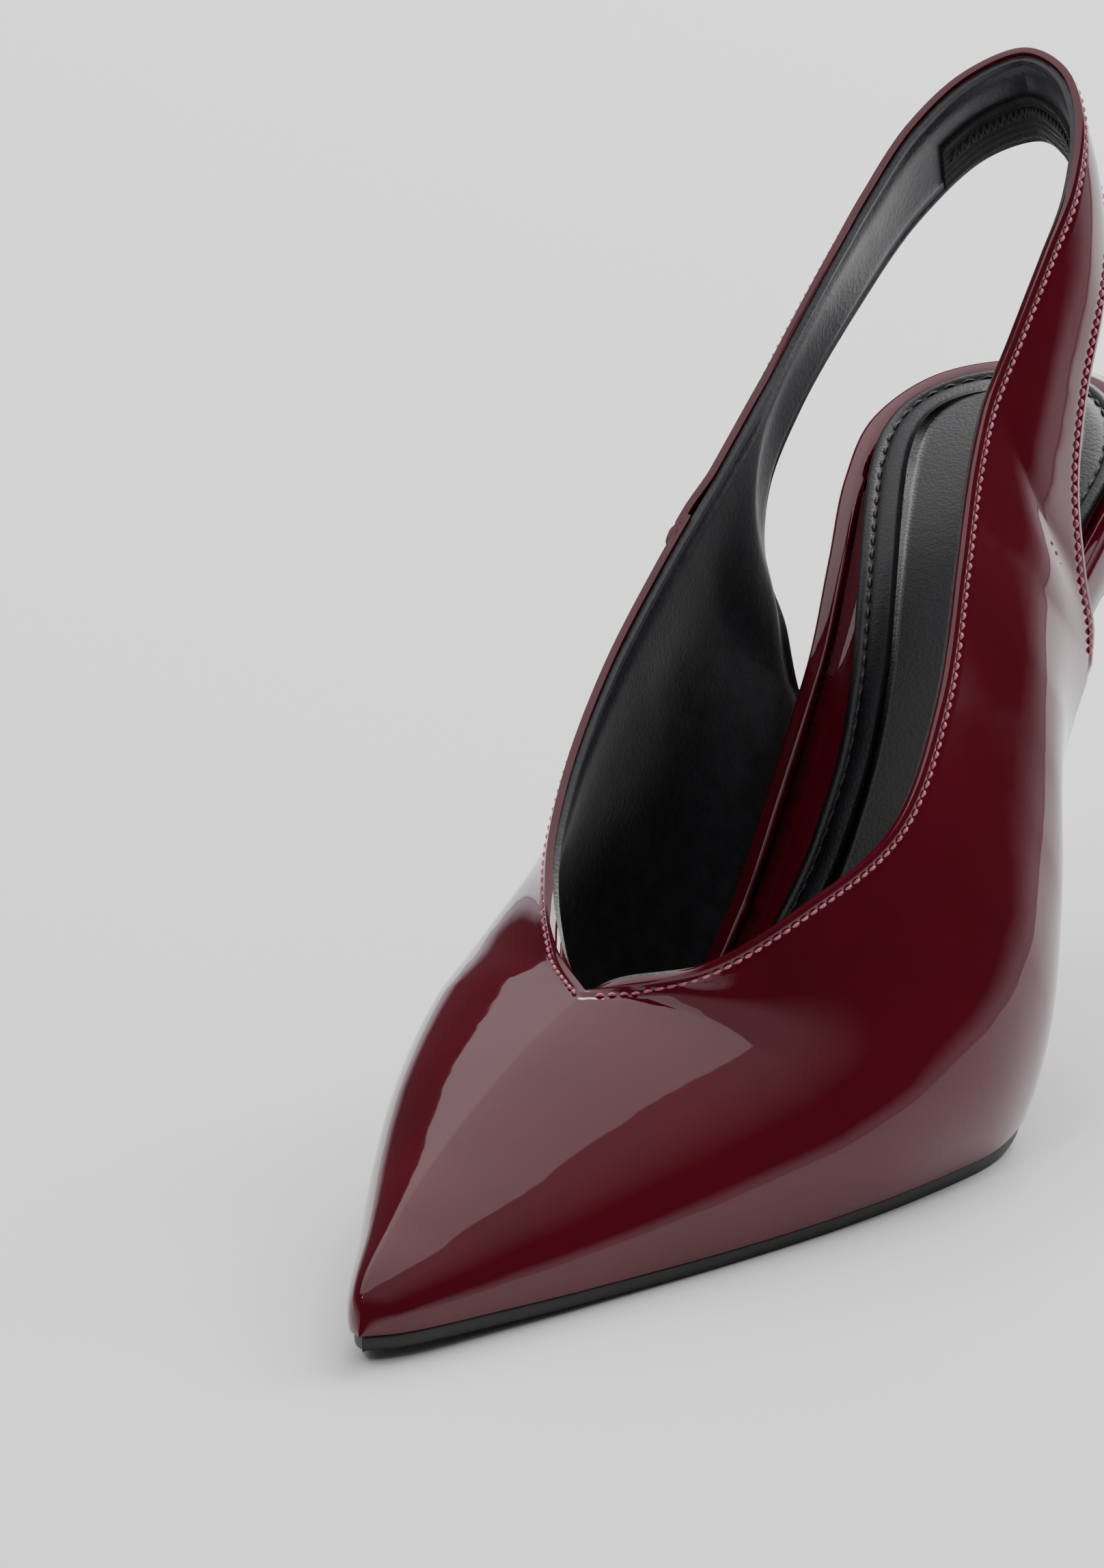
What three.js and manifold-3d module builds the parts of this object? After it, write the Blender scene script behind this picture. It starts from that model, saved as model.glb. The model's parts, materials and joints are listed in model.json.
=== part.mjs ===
// A left slingback pump with a pointed toe and a stiletto heel, in millimetres.
// The toe points to -Y, the wearer's left (outer side) is +X and the shoe stands on z = 0.
import * as THREE from 'three';
import { mergeVertices } from 'three/addons/utils/BufferGeometryUtils.js';
import Module from 'manifold-3d';

const wasm = await Module();
wasm.setup();

// Layers of the upper, as depths below the outer face of the patent leather
const gap = 0.3;
const patentDepths = [0, 0.9];
const stiffenerDepths = [patentDepths[1] + gap, 1.6];
const liningDepths = [stiffenerDepths[1] + gap, 2.7];
const stayDepths = [liningDepths[1] + gap, 3.5];

// Layers of the bottom, as heights square to the sole line
const outsoleHeights = [-2.5, -gap];
const shankHeights = [0.2, 1.4];
const boardHeights = [1.9, 4.1];
const foamHeights = [4.4, 5.6];
const coverHeights = [5.9, 6.9];
const sockHeights = [7.2, 8.4];
const rimWall = 1;
const rimWallHeight = 5.6;

// Heel
const heelX = -2;
const breastY = 81.5;
const topPieceHeight = 6.3;
const topPieceFront = 82.9;
const topPieceBack = 90.7;
const topPieceHalfWidth = 4.1;
const coverThickness = 0.8;
const dowelY = 86.9;

// Strap hinge: an axis across the shoe where the strap leaves the quarters
const hingeY = 64.5;
const hingeZ = 105.8;
const hingeRadius = 4;
const strapAngle = 47;
const strapDrop = 22;
const strapLift = 8;

// Sole line: height of the upper's lower edge along the shoe, flat under the ball
const soleLine = [
  [-119.5, 4.4], [-80, 3], [-50, 2.5], [-8, 2.5], [6, 3.8], [18, 9.6],
  [30, 22], [42, 37.3], [56, 52], [72, 63.8], [94, 75.2], [120, 85.8],
];

function monotone(knots, x) {
  const n = knots.length;
  const slope = (i) => (knots[i + 1][1] - knots[i][1]) / (knots[i + 1][0] - knots[i][0]);
  const tangent = (i) => {
    if (i === 0) return slope(0);
    if (i === n - 1) return slope(n - 2);
    const a = slope(i - 1);
    const b = slope(i);
    return a * b <= 0 ? 0 : (2 * a * b) / (a + b);
  };
  const at = Math.min(Math.max(x, knots[0][0]), knots[n - 1][0]);
  let i = 0;
  while (i < n - 2 && at > knots[i + 1][0]) i += 1;
  const h = knots[i + 1][0] - knots[i][0];
  const t = (at - knots[i][0]) / h;
  return (2 * t ** 3 - 3 * t * t + 1) * knots[i][1] + (t ** 3 - 2 * t * t + t) * h * tangent(i)
    + (3 * t * t - 2 * t ** 3) * knots[i + 1][1] + (t ** 3 - t * t) * h * tangent(i + 1);
}

const soleHeight = (y) => monotone(soleLine, y);
const steps = (from, to, count) => Array.from({ length: count + 1 }, (_, i) => from + ((to - from) * i) / count);

// A point at (x, y) on the sole line, raised square to it
function bedPoint(x, y, height) {
  const angle = Math.atan((soleHeight(y + 0.5) - soleHeight(y - 0.5)) / 1);
  return new THREE.Vector3(x, y - height * Math.sin(angle), soleHeight(y) + height * Math.cos(angle));
}

const curve = (points) => new THREE.CatmullRomCurve3(
  points.map((p) => new THREE.Vector3(p[0], p[1], p[2] ?? soleHeight(p[1]))), false, 'centripetal');

// The upper: each row runs from its lower edge to its upper edge. Rows 0 to 12 stand on the sole,
// rows 12 to 20 rise from the back edge of the quarter along the strap to the middle of the back.
const soleRows = 12;
const throatRow = 5;
const lastRow = 20;
const throat = [-8.3, -49, 35.8];
const strapRoot = { lateral: [17, 46, 103], medial: [-20.7, 41, 101.5] };
const strapBack = { lower: [2, 106.6, 130.3], upper: [2, 98.3, 146.2] };
const ridge = curve([
  [-12, -119.5, 4.4], [-12.3, -117, 10.5], [-13, -104, 17], [-13, -88, 23], [-11.3, -68, 30], throat,
]);

const lateral = {
  sign: 1,
  sole: curve([
    [-12, -119.5], [-7.3, -115.5], [2, -98], [11.5, -78], [20.5, -58], [28.3, -38.5], [33.8, -20],
    [37, -2], [36, 12], [32, 25], [28, 38], [26, 51], [25.5, 64],
  ]),
  back: curve([
    [25.5, 64], [27, 61.5, 65.5], [26.7, 59.3, 75], [24.8, 62, 87], [23, 70, 98.5], [21.3, 82, 111],
    [17, 93.5, 120.5], [10.2, 102.3, 127.5], strapBack.lower,
  ]),
  topline: curve([
    throat, [7, -43, 38.8], [18.5, -29, 45.8], [25.5, -12, 53.5], [25.6, 6, 68], [22, 23, 84],
    [18.8, 36, 95.5], strapRoot.lateral,
  ]),
  strap: curve([
    strapRoot.lateral, [16.8, 51, 106.8], [16.8, 56.5, 110.8], [16.9, 63, 115.8], [17.1, 70.5, 121.7],
    [17.3, 80, 129.4], [14.8, 90, 138.9], [9.5, 96, 144.3], strapBack.upper,
  ]),
  swell: [0, 1, 2, 3, 5, 8, 11, 13, 14, 14, 13, 11, 7],
  flat: [1, 1, 1, 1, 1, 1, 0.8, 0.55, 0.35, 0.2, 0.1, 0.05, 0],
  fullness: [0.55, 0.55, 0.55, 0.55, 0.55, 0.55, 0.55, 0.55, 0.55, 0.55, 0.55, 0.55, 0.55],
};

const medial = {
  sign: -1,
  sole: curve([
    [-12, -119.5], [-15, -116.5], [-21.5, -99], [-28.5, -79], [-34.8, -58], [-38.3, -39], [-38.8, -22],
    [-36.3, -5], [-32, 8], [-26.5, 21], [-22.5, 34], [-20.8, 45], [-20.9, 56],
  ]),
  back: curve([
    [-20.9, 56], [-22.5, 54.4, 61.5], [-26, 54, 71], [-27, 57.5, 83], [-25, 66, 94.5], [-20.5, 80, 108],
    [-15.5, 93, 119], [-7.6, 103.3, 127.5], strapBack.lower,
  ]),
  topline: curve([
    throat, [-16.8, -40, 38.8], [-25, -26, 46.5], [-28.6, -11, 57], [-28.2, 3.5, 69.8], [-25.7, 17.5, 82],
    [-22.8, 30, 92.6], strapRoot.medial,
  ]),
  strap: curve([
    strapRoot.medial, [-19.6, 46.5, 106], [-18.7, 53, 111], [-17.9, 60, 116], [-17, 67.5, 121.3],
    [-15.9, 75.5, 127], [-12.6, 86, 135.8], [-6.5, 94.5, 142.7], strapBack.upper,
  ]),
  swell: [0, 0.6, 1.6, 2.6, 3.4, 6, 11, 15, 15, 13, 11, 9.5, 8],
  flat: [1, 1, 1, 1, 1, 1, 0.95, 0.8, 0.55, 0.3, 0.1, 0.05, 0],
  fullness: [0.55, 0.6, 0.75, 0.9, 0.95, 0.95, 0.9, 0.8, 0.7, 0.6, 0.55, 0.52, 0.52],
};
const strapSwell = 0.8;

function between(list, row) {
  const i = Math.min(Math.floor(row), list.length - 2);
  return THREE.MathUtils.lerp(list[i], list[i + 1], row - i);
}

function lowerEdge(side, row) {
  if (row <= soleRows) {
    const p = side.sole.getPoint(row / soleRows);
    p.z = soleHeight(p.y);
    return p;
  }
  return side.back.getPoint((row - soleRows) / (lastRow - soleRows));
}

function upperEdge(side, row) {
  if (row <= throatRow) return ridge.getPoint(row / throatRow);
  if (row <= soleRows) return side.topline.getPoint((row - throatRow) / (soleRows - throatRow));
  return side.strap.getPoint((row - soleRows) / (lastRow - soleRows));
}

// Outer face of the upper, t from 0 at the lower edge to 1 at the upper edge
function skinPoint(anySide, row, t) {
  const side = row === lastRow ? lateral : anySide;
  const low = lowerEdge(side, row);
  const top = upperEdge(side, row);
  const rise = top.clone().sub(low);
  const edge = row > soleRows ? upperEdge : lowerEdge;
  const along = edge(side, Math.min(row + 0.01, lastRow)).sub(edge(side, Math.max(row - 0.01, 0)));
  const outward = new THREE.Vector3(along.y * side.sign, -along.x * side.sign, 0).normalize();
  const onSole = row <= soleRows;
  const fadeOut = Math.min((row - soleRows) / 2, 1);
  const swell = onSole ? between(side.swell, row)
    : THREE.MathUtils.lerp(side.swell[soleRows], strapSwell, fadeOut);
  const flat = onSole ? between(side.flat, row) : 0;
  const full = onSole ? between(side.fullness, row) : 0.5;
  const lean = 0.9 * (1 - flat) ** 2;
  const b1 = low.clone().addScaledVector(outward, swell);
  b1.x += full * rise.x * lean;
  b1.y += full * rise.y * lean;
  b1.z += full * rise.z * 0.9;
  const b2 = top.clone().addScaledVector(outward, swell * 0.55 * (1 - flat));
  b2.x -= full * rise.x;
  b2.y -= full * rise.y;
  b2.z -= full * rise.z * (1 - flat) * 0.85;
  return new THREE.CubicBezierCurve3(low, b1, b2, top).getPoint(t);
}

// The side seam of the inner quarter leans forward from the topline down to the sole
const seamRow = 10.3;
const seamFootRow = 9.2;

function leaned(row, t) {
  if (row <= throatRow || row >= soleRows) return row;
  const seam = THREE.MathUtils.lerp(seamFootRow, seamRow, t);
  return row <= seamRow
    ? THREE.MathUtils.mapLinear(row, throatRow, seamRow, throatRow, seam)
    : THREE.MathUtils.mapLinear(row, seamRow, soleRows, seam, soleRows);
}

function skinNormal(side, row, t) {
  const e = 0.02;
  const u = skinPoint(side, Math.min(row + e, lastRow), t).sub(skinPoint(side, Math.max(row - e, 0), t));
  const v = skinPoint(side, row, Math.min(t + e, 1)).sub(skinPoint(side, row, Math.max(t - e, 0)));
  return u.cross(v).multiplyScalar(side.sign).normalize();
}

// Solids

function cleaned(geometry) {
  geometry.deleteAttribute('normal');
  geometry.deleteAttribute('uv');
  const merged = mergeVertices(geometry, 1e-4);
  merged.computeVertexNormals();
  return merged;
}

function fromFaces(points, faces) {
  const geometry = new THREE.BufferGeometry();
  geometry.setAttribute('position', new THREE.Float32BufferAttribute(points.flatMap((p) => p.toArray()), 3));
  geometry.setIndex(faces.flat());
  geometry.computeVertexNormals();
  return geometry;
}

function toSolid(geometry) {
  const source = cleaned(geometry.clone());
  return new wasm.Manifold(new wasm.Mesh({
    numProp: 3,
    vertProperties: new Float32Array(source.attributes.position.array),
    triVerts: new Uint32Array(source.index.array),
  }));
}

function toGeometry(solid) {
  const mesh = solid.getMesh();
  const geometry = new THREE.BufferGeometry();
  geometry.setAttribute('position', new THREE.BufferAttribute(new Float32Array(mesh.vertProperties), 3));
  geometry.setIndex(new THREE.BufferAttribute(new Uint32Array(mesh.triVerts), 1));
  geometry.computeVertexNormals();
  return geometry;
}

const minus = (body, ...tools) => toGeometry(
  tools.reduce((left, tool) => left.subtract(toSolid(tool)), toSolid(body)));
const common = (body, tool) => toGeometry(toSolid(body).intersect(toSolid(tool)));

// Joins grids of skin points into one open sheet: patches are [side, rows, heights]
function sheet(patches) {
  const points = [];
  const faces = [];
  const seen = new Map();
  const add = (p) => {
    const key = p.toArray().map((c) => Math.round(c * 500)).join();
    if (!seen.has(key)) {
      seen.set(key, points.length);
      points.push(p);
    }
    return seen.get(key);
  };
  const keep = (a, b, c) => {
    if (a !== b && b !== c && c !== a) faces.push([a, b, c]);
  };
  for (const [side, rows, heights] of patches) {
    const rowAt = (row, t) => (side === medial ? leaned(row, t) : row);
    const grid = rows.map((row) => heights.map((t) => add(skinPoint(side, rowAt(row, t), t))));
    for (let i = 0; i < rows.length - 1; i += 1) {
      for (let j = 0; j < heights.length - 1; j += 1) {
        const [a, b, c, d] = [grid[i][j], grid[i + 1][j], grid[i + 1][j + 1], grid[i][j + 1]];
        if (side.sign > 0) {
          keep(a, b, c);
          keep(a, c, d);
        } else {
          keep(a, c, b);
          keep(a, d, c);
        }
      }
    }
  }
  return { points, faces };
}

// Thickens an open sheet into a closed plate between two depths below it
function plate({ points, faces }, [outer, inner]) {
  const normals = points.map(() => new THREE.Vector3());
  const edges = new Map();
  for (const [a, b, c] of faces) {
    const ab = points[b].clone().sub(points[a]);
    const cross = ab.cross(points[c].clone().sub(points[a]));
    [a, b, c].forEach((i) => normals[i].add(cross));
    [[a, b], [b, c], [c, a]].forEach(([i, j]) => edges.set(`${i},${j}`, [i, j]));
  }
  normals.forEach((n) => n.normalize());
  const layer = (depth) => points.map((p, i) => p.clone().addScaledVector(normals[i], -depth));
  const n = points.length;
  const all = faces.map((f) => [...f]);
  faces.forEach(([a, b, c]) => all.push([a + n, c + n, b + n]));
  for (const [i, j] of edges.values()) {
    if (!edges.has(`${j},${i}`)) all.push([j, i, i + n], [j, i + n, j + n]);
  }
  return fromFaces([...layer(outer), ...layer(inner)], all);
}

// Skins rings of points, each a closed section, into a body; caps are triangles of one section
function loft(rings, caps) {
  const n = rings[0].length;
  const last = (rings.length - 1) * n;
  const faces = [];
  for (let i = 0; i < rings.length - 1; i += 1) {
    for (let j = 0; j < n; j += 1) {
      const a = i * n + j;
      const b = i * n + ((j + 1) % n);
      faces.push([a, b, b + n], [a, b + n, a + n]);
    }
  }
  for (const [a, b, c] of caps) faces.push([a, c, b], [a + last, b + last, c + last]);
  const points = rings.flat();
  const volume = faces.reduce((sum, [a, b, c]) => sum
    + points[a].dot(points[b].clone().cross(points[c])), 0);
  return fromFaces(points, volume < 0 ? faces.map(([a, b, c]) => [a, c, b]) : faces);
}

function capOf(section) {
  const flat = section.map(([x, y]) => new THREE.Vector2(x, y));
  const turn = (a, b, c) => Math.sign(flat[b].clone().sub(flat[a]).cross(flat[c].clone().sub(flat[a])));
  const wanted = Math.sign(THREE.ShapeUtils.area(flat));
  return THREE.ShapeUtils.triangulateShape(flat, [])
    .map(([a, b, c]) => (turn(a, b, c) === wanted ? [a, b, c] : [a, c, b]));
}

// Plan outlines, toe to back. The seat outline is the wrapped rim's, and inside the upper in front.
const upperPlan = [...lateral.sole.getSpacedPoints(60), ...medial.sole.getSpacedPoints(60).reverse()];
const seatLateral = curve([
  [-12, -114.5], [-6.5, -107], [1.3, -91], [11.5, -69.5], [20.5, -49], [28, -29], [32.3, -11], [32.8, 4],
  [29.4, 20], [25.3, 35], [22.9, 50], [22.2, 66], [22.6, 82], [22, 97], [17.5, 109], [8, 117], [-3, 120],
]);
const seatMedial = curve([
  [-12, -114.5], [-16.5, -107], [-21, -93], [-27.5, -72], [-32.5, -50], [-34.5, -32], [-33.5, -15],
  [-29, 0], [-23.5, 15], [-19.3, 30], [-17.4, 45], [-17.5, 58], [-20.8, 73], [-25, 89], [-26.2, 103],
  [-21, 114], [-12.5, 119], [-3, 120],
]);
const seatPlan = [...seatLateral.getSpacedPoints(90), ...seatMedial.getSpacedPoints(90).reverse().slice(1)];

// The padded sock is narrower than the seat, most of all on the inner side of the waist
const sockLateral = curve([
  [-12, -96], [-5, -84], [6, -62], [15, -42], [22, -22], [25, -4], [23.5, 12], [20.5, 26], [18, 38],
  [17, 50], [16.6, 62], [17.4, 75], [18.4, 86], [18, 96], [14.5, 106], [9, 112], [3, 115], [-3, 115.7],
]);
const sockMedial = curve([
  [-12, -96], [-17, -84], [-24, -62], [-27.5, -42], [-26.5, -22], [-21, 0], [-14.5, 16], [-10.8, 28],
  [-7.6, 38], [-6.9, 46], [-8.3, 54], [-11.3, 63], [-14.6, 72], [-18.2, 82], [-21, 91], [-22.2, 99],
  [-21, 105.5], [-17.5, 110.5], [-11.5, 114.2], [-3, 115.7],
]);
const sockPlan = [...sockLateral.getSpacedPoints(80), ...sockMedial.getSpacedPoints(80).reverse().slice(1)];

function insetPlan(plan, distance) {
  return plan.map((p, i) => {
    const before = plan[Math.max(i - 1, 0)];
    const after = plan[Math.min(i + 1, plan.length - 1)];
    const away = new THREE.Vector3(-(after.y - before.y), after.x - before.x, 0).normalize();
    return p.clone().addScaledVector(away, distance);
  });
}

// Least and greatest x of a plan outline at one y
function spanAt(plan, y) {
  const hits = [];
  for (let i = 0; i < plan.length; i += 1) {
    const a = plan[i];
    const b = plan[(i + 1) % plan.length];
    if ((a.y - y) * (b.y - y) <= 0 && a.y !== b.y) {
      hits.push(a.x + ((b.x - a.x) * (y - a.y)) / (b.y - a.y));
    }
  }
  return [Math.min(...hits), Math.max(...hits)];
}

// Stations along the shoe that all layers of the bottom share, closer where the sole line bends
const stations = [...steps(-120, -6, 15), ...steps(-2, 66, 17), ...steps(72, 120, 8)];
const roundEnds = [0, 0.5, 1.8, 4];

// A slab that follows the sole line between two heights
function slab(span, [from, to], [low, high]) {
  const rings = [];
  const between = stations.filter((y) => y > from + 5 && y < to - 5);
  const ends = [roundEnds.map((d) => from + d), roundEnds.map((d) => to - d).reverse()];
  for (const y of [...ends[0], ...between, ...ends[1]]) {
    const [left, right] = span(y);
    rings.push([bedPoint(left, y, low), bedPoint(right, y, low), bedPoint(right, y, high),
      bedPoint(left, y, high)]);
  }
  return loft(rings, [[0, 1, 2], [0, 2, 3]]);
}

const planSlab = (plan, ends, heights) => slab((y) => spanAt(plan, y), ends, heights);

// A body of revolution standing square to the sole line at (x, y); profile is [radius, height] pairs
function turnedOnBed(profile, [x, y], sides = 8) {
  const body = new THREE.LatheGeometry(profile.map(([r, h]) => new THREE.Vector2(r, h)), sides);
  body.rotateX(Math.PI / 2);
  const angle = Math.atan(soleHeight(y + 0.5) - soleHeight(y - 0.5));
  body.rotateX(angle);
  body.translate(x, y, soleHeight(y));
  return cleaned(body);
}

const pinProfile = (radius, from, to) => [[0, from], [radius, from], [radius, to], [0, to]];

function uprightPin(radius, y, from, to) {
  const body = new THREE.LatheGeometry(
    pinProfile(radius, from, to).map(([r, h]) => new THREE.Vector2(r, h)), 12);
  body.rotateX(Math.PI / 2);
  body.translate(heelX, y, 0);
  return cleaned(body);
}

// The object

const shoe = new THREE.Group();

const finishes = {
  patent: [0x4a0414, 0.08, 0],
  heelPatent: [0x40030f, 0.1, 0],
  lining: [0x131316, 0.55, 0],
  sockLeather: [0x17171b, 0.45, 0],
  thread: [0xb0405e, 0.6, 0],
  blackThread: [0x101012, 0.7, 0],
  stiffener: [0xd8cdb8, 0.9, 0],
  board: [0xb59a74, 0.9, 0],
  foam: [0xe0dcc8, 0.95, 0],
  elastic: [0x1b1b1e, 0.8, 0],
  sole: [0x0c0c0d, 0.5, 0],
  plastic: [0x2a2426, 0.5, 0],
  tipRubber: [0x0d0d0f, 0.6, 0],
  steel: [0x9a9da2, 0.35, 1],
};

function place(name, finish, geometry) {
  const [color, roughness, metalness] = finishes[finish];
  const mesh = new THREE.Mesh(geometry, new THREE.MeshStandardMaterial({ color, roughness, metalness }));
  mesh.name = name;
  shoe.add(mesh);
}

// Prisms across the shoe that part the strap from the quarters. The strap keeps a wedge of room
// below and above the hinge for its drop and lift.
function hingePrism(radius, lowAngle, highAngle) {
  const outline = new THREE.Shape();
  const at = (degrees, r) => {
    const a = THREE.MathUtils.degToRad(degrees);
    return [hingeY + r * Math.cos(a), hingeZ + r * Math.sin(a)];
  };
  const reach = 400;
  outline.moveTo(...at(lowAngle, reach));
  for (let i = 0; i <= 8; i += 1) {
    outline.lineTo(...at(THREE.MathUtils.lerp(lowAngle, highAngle, i / 8), radius));
  }
  outline.lineTo(...at(highAngle, reach));
  outline.lineTo(...at(180 + strapAngle, reach * 2));
  const prism = new THREE.ExtrudeGeometry(outline, { depth: 140, bevelEnabled: false });
  const toSide = new THREE.Matrix4().makeBasis(
    new THREE.Vector3(0, 1, 0), new THREE.Vector3(0, 0, 1), new THREE.Vector3(1, 0, 0));
  return cleaned(prism.applyMatrix4(toSide).translate(-70, 0, 0));
}

const frontPrism = hingePrism(hingeRadius, strapAngle - 90, strapAngle + 90);
const strapRoom = hingePrism(hingeRadius + 0.4, strapAngle - 90 + strapDrop + 1,
  strapAngle + 90 - strapLift - 1);

const heights = steps(0, 1, 6);
const inner = heights.slice(1, -1);
const toeRows = [0, 0.4, 0.7];
const vampRows = [...toeRows, ...steps(1, 9.5, 17), seamRow - 0.03];
const cutRow = 17;
const quarterRows = [seamRow + 0.01, 10.7, 11.1, 11.5, 11.75, ...steps(12, cutRow, 10)];

function addUpper() {
  const vamp = sheet([
    [lateral, [...toeRows, ...steps(1, cutRow, 32)], heights],
    [medial, vampRows, heights],
  ]);
  const quarter = sheet([[medial, quarterRows, heights]]);
  const strap = sheet([
    [lateral, steps(13, lastRow, 14), heights],
    [medial, steps(13, lastRow, 14), heights],
  ]);
  place('vamp_outer', 'patent', common(plate(vamp, patentDepths), frontPrism));
  place('medial_quarter_outer', 'patent', common(plate(quarter, patentDepths), frontPrism));
  place('strap_outer', 'patent', minus(plate(strap, patentDepths), strapRoom));
  place('strap_lining', 'lining', minus(plate(strap, liningDepths), strapRoom));
  const linedVamp = sheet([
    [lateral, [...toeRows.slice(2), ...steps(1, cutRow, 32)], heights],
    [medial, vampRows.slice(2), heights],
  ]);
  place('vamp_lining', 'lining', common(plate(linedVamp, liningDepths), frontPrism));
  place('medial_quarter_lining', 'lining', common(plate(quarter, liningDepths), frontPrism));
}

function addStiffeners() {
  const upperHeights = heights.slice(1);
  const puff = sheet([[lateral, steps(1, 3.5, 5), upperHeights], [medial, steps(1, 3.5, 5), upperHeights]]);
  place('toe_puff', 'stiffener', plate(puff, stiffenerDepths));
  const lateralPlate = plate(sheet([[lateral, steps(7.5, cutRow, 19), inner]]), stiffenerDepths);
  place('lateral_quarter_interlining', 'stiffener', common(lateralPlate, frontPrism));
  const medialPlate = plate(sheet([[medial, quarterRows, inner]]), stiffenerDepths);
  place('medial_quarter_interlining', 'stiffener', common(medialPlate, frontPrism));
  const band = steps(14, lastRow, 12);
  const strapPlate = plate(sheet([[lateral, band, inner], [medial, band, inner]]), stiffenerDepths);
  place('strap_interlining', 'stiffener', minus(strapPlate, strapRoom));
  const stayRows = steps(18.5, lastRow, 3);
  const stay = sheet([[lateral, stayRows, inner], [medial, stayRows, inner]]);
  place('strap_stay', 'elastic', plate(stay, stayDepths));
}

// Threads lie just off the leather, a set distance in from the edges
const threadRadius = 0.25;
const threadLift = 1.2;
const threadInset = 2.5;

function threadPoint(side, row, fromTop) {
  const length = skinPoint(side, row, 1).distanceTo(skinPoint(side, row, 0));
  const t = fromTop ? 1 - threadInset / length : threadInset / length;
  return skinPoint(side, row, t).addScaledVector(skinNormal(side, row, t), threadLift);
}

function threadBody(points, count, radius = threadRadius) {
  const section = new THREE.Shape();
  for (let i = 0; i < 4; i += 1) {
    section.lineTo(radius * Math.cos((i * Math.PI) / 2), radius * Math.sin((i * Math.PI) / 2));
  }
  const path = new THREE.CatmullRomCurve3(points, false, 'centripetal');
  return cleaned(new THREE.ExtrudeGeometry(section, { steps: count, extrudePath: path, bevelEnabled: false }));
}

function addThreads() {
  const run = (side, from, to, count, fromTop) => steps(from, to, count)
    .map((row) => threadPoint(side, row, fromTop));
  const belowThroat = skinPoint(lateral, throatRow - 0.15, 1).add(new THREE.Vector3(0, 0, threadLift));
  const toplineRun = [...run(lateral, 12.3, 5.3, 24, true), belowThroat, ...run(medial, 5.3, 12.3, 24, true)];
  place('topline_thread', 'thread', threadBody(toplineRun, 64));
  place('strap_topline_thread', 'thread', threadBody(
    [...run(lateral, 15, 19.8, 14, true), ...run(medial, 19.8, 15, 14, true)], 36));
  place('strap_lower_thread', 'thread', threadBody(
    [...run(lateral, 17, 19.8, 10, false), ...run(medial, 19.8, 17, 10, false)], 30));
  place('lateral_rear_thread', 'thread', threadBody(run(lateral, 14.3, 15.8, 7, false), 14));
  place('medial_rear_thread', 'thread', threadBody(run(medial, 14.3, 15.8, 7, false), 14));
}

// The patent wrap round the rim of waist and seat, an upright wall under the edge of the insole cover
function addRim() {
  const front = 14;
  const outer = seatPlan.filter((p) => p.y > front);
  const path = outer.filter((_, i) => i % 2 === 0);
  const section = [[0, gap], [0, rimWallHeight], [rimWall, rimWallHeight], [rimWall, gap]];
  const columns = section.map(([inset]) => insetPlan(path, inset));
  const rings = path.map((_, i) => section.map(([, height], j) => {
    const p = columns[j][i];
    return bedPoint(p.x, p.y, height);
  }));
  place('rim_wrap', 'patent', loft(rings, capOf(section)));
}

const screw = { at: [heelX, 97], head: 3.5, shank: 1.7, length: 11 };
const nails = [[-13, 90], [9, 90], [-13, 103], [9, 103]].map((at) => ({ at, head: 1.9, shank: 0.9, length: 9 }));
const rivets = [[3, 6], [-1, 76]].map((at) => ({ at, head: 2.4, shank: 1.2, length: 2.95 }));

// A headed pin sunk in the insole board
function headedPin({ at, head, shank, length }) {
  const under = 3.2;
  return turnedOnBed([[0, under - length], [shank, under - length], [shank, under], [head, under],
    [head, 3.9], [0, 3.9]], at);
}

function headedHole({ at, head, shank, length }) {
  const under = 2.9;
  return turnedOnBed([[0, under - length - 1], [shank + gap, under - length - 1], [shank + gap, under],
    [head + gap, under], [head + gap, 6], [0, 6]], at);
}

function addFootBed() {
  const fasteners = [screw, ...nails, ...rivets];
  const board = planSlab(insetPlan(seatPlan, rimWall + 0.6), [-108, 118], boardHeights);
  place('insole_board', 'board', minus(board, ...fasteners.map(headedHole)));
  place('insole_foam', 'foam', planSlab(insetPlan(seatPlan, rimWall + 0.6), [-92, 118], foamHeights));
  place('insole_cover', 'patent', planSlab(insetPlan(seatPlan, 0.3), [-90, 119.6], coverHeights));
  place('sock', 'sockLeather', planSlab(sockPlan, [-94, 115.6], sockHeights));
  const stitchPlan = insetPlan(sockPlan, 2).filter((p) => p.y > -92);
  const stitches = stitchPlan.filter((_, i) => i % 3 === 0).map((p) => bedPoint(p.x, p.y, sockHeights[1] + 0.7));
  place('sock_thread', 'blackThread', threadBody(stitches, 60, 0.2));
  const strip = (y) => {
    const middle = THREE.MathUtils.mapLinear(y, 0, 92, 3, -2);
    return [middle - 6, middle + 6];
  };
  place('steel_shank', 'steel', minus(slab(strip, [0, 92], shankHeights), ...rivets.map(headedHole)));
  place('forefoot_filler', 'foam', planSlab(insetPlan(seatPlan, 3), [-98, -2], [0.1, 1.6]));
  rivets.forEach((rivet, i) => place(`shank_rivet_${i + 1}`, 'steel', headedPin(rivet)));
  nails.forEach((nail, i) => place(`seat_nail_${i + 1}`, 'steel', headedPin(nail)));
  place('seat_screw', 'steel', headedPin(screw));
}

function addOutsole() {
  const forefoot = insetPlan(upperPlan, 0.8);
  const waist = insetPlan(seatPlan, 1.4);
  const span = (y) => {
    const mix = THREE.MathUtils.smoothstep(y, 0, 40);
    const wide = spanAt(forefoot, Math.min(y, 56));
    const narrow = spanAt(waist, Math.max(y, -105));
    return [0, 1].map((i) => THREE.MathUtils.lerp(wide[i], narrow[i], mix));
  };
  place('outsole', 'sole', slab(span, [-118.4, breastY - 1], outsoleHeights));
}

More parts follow.
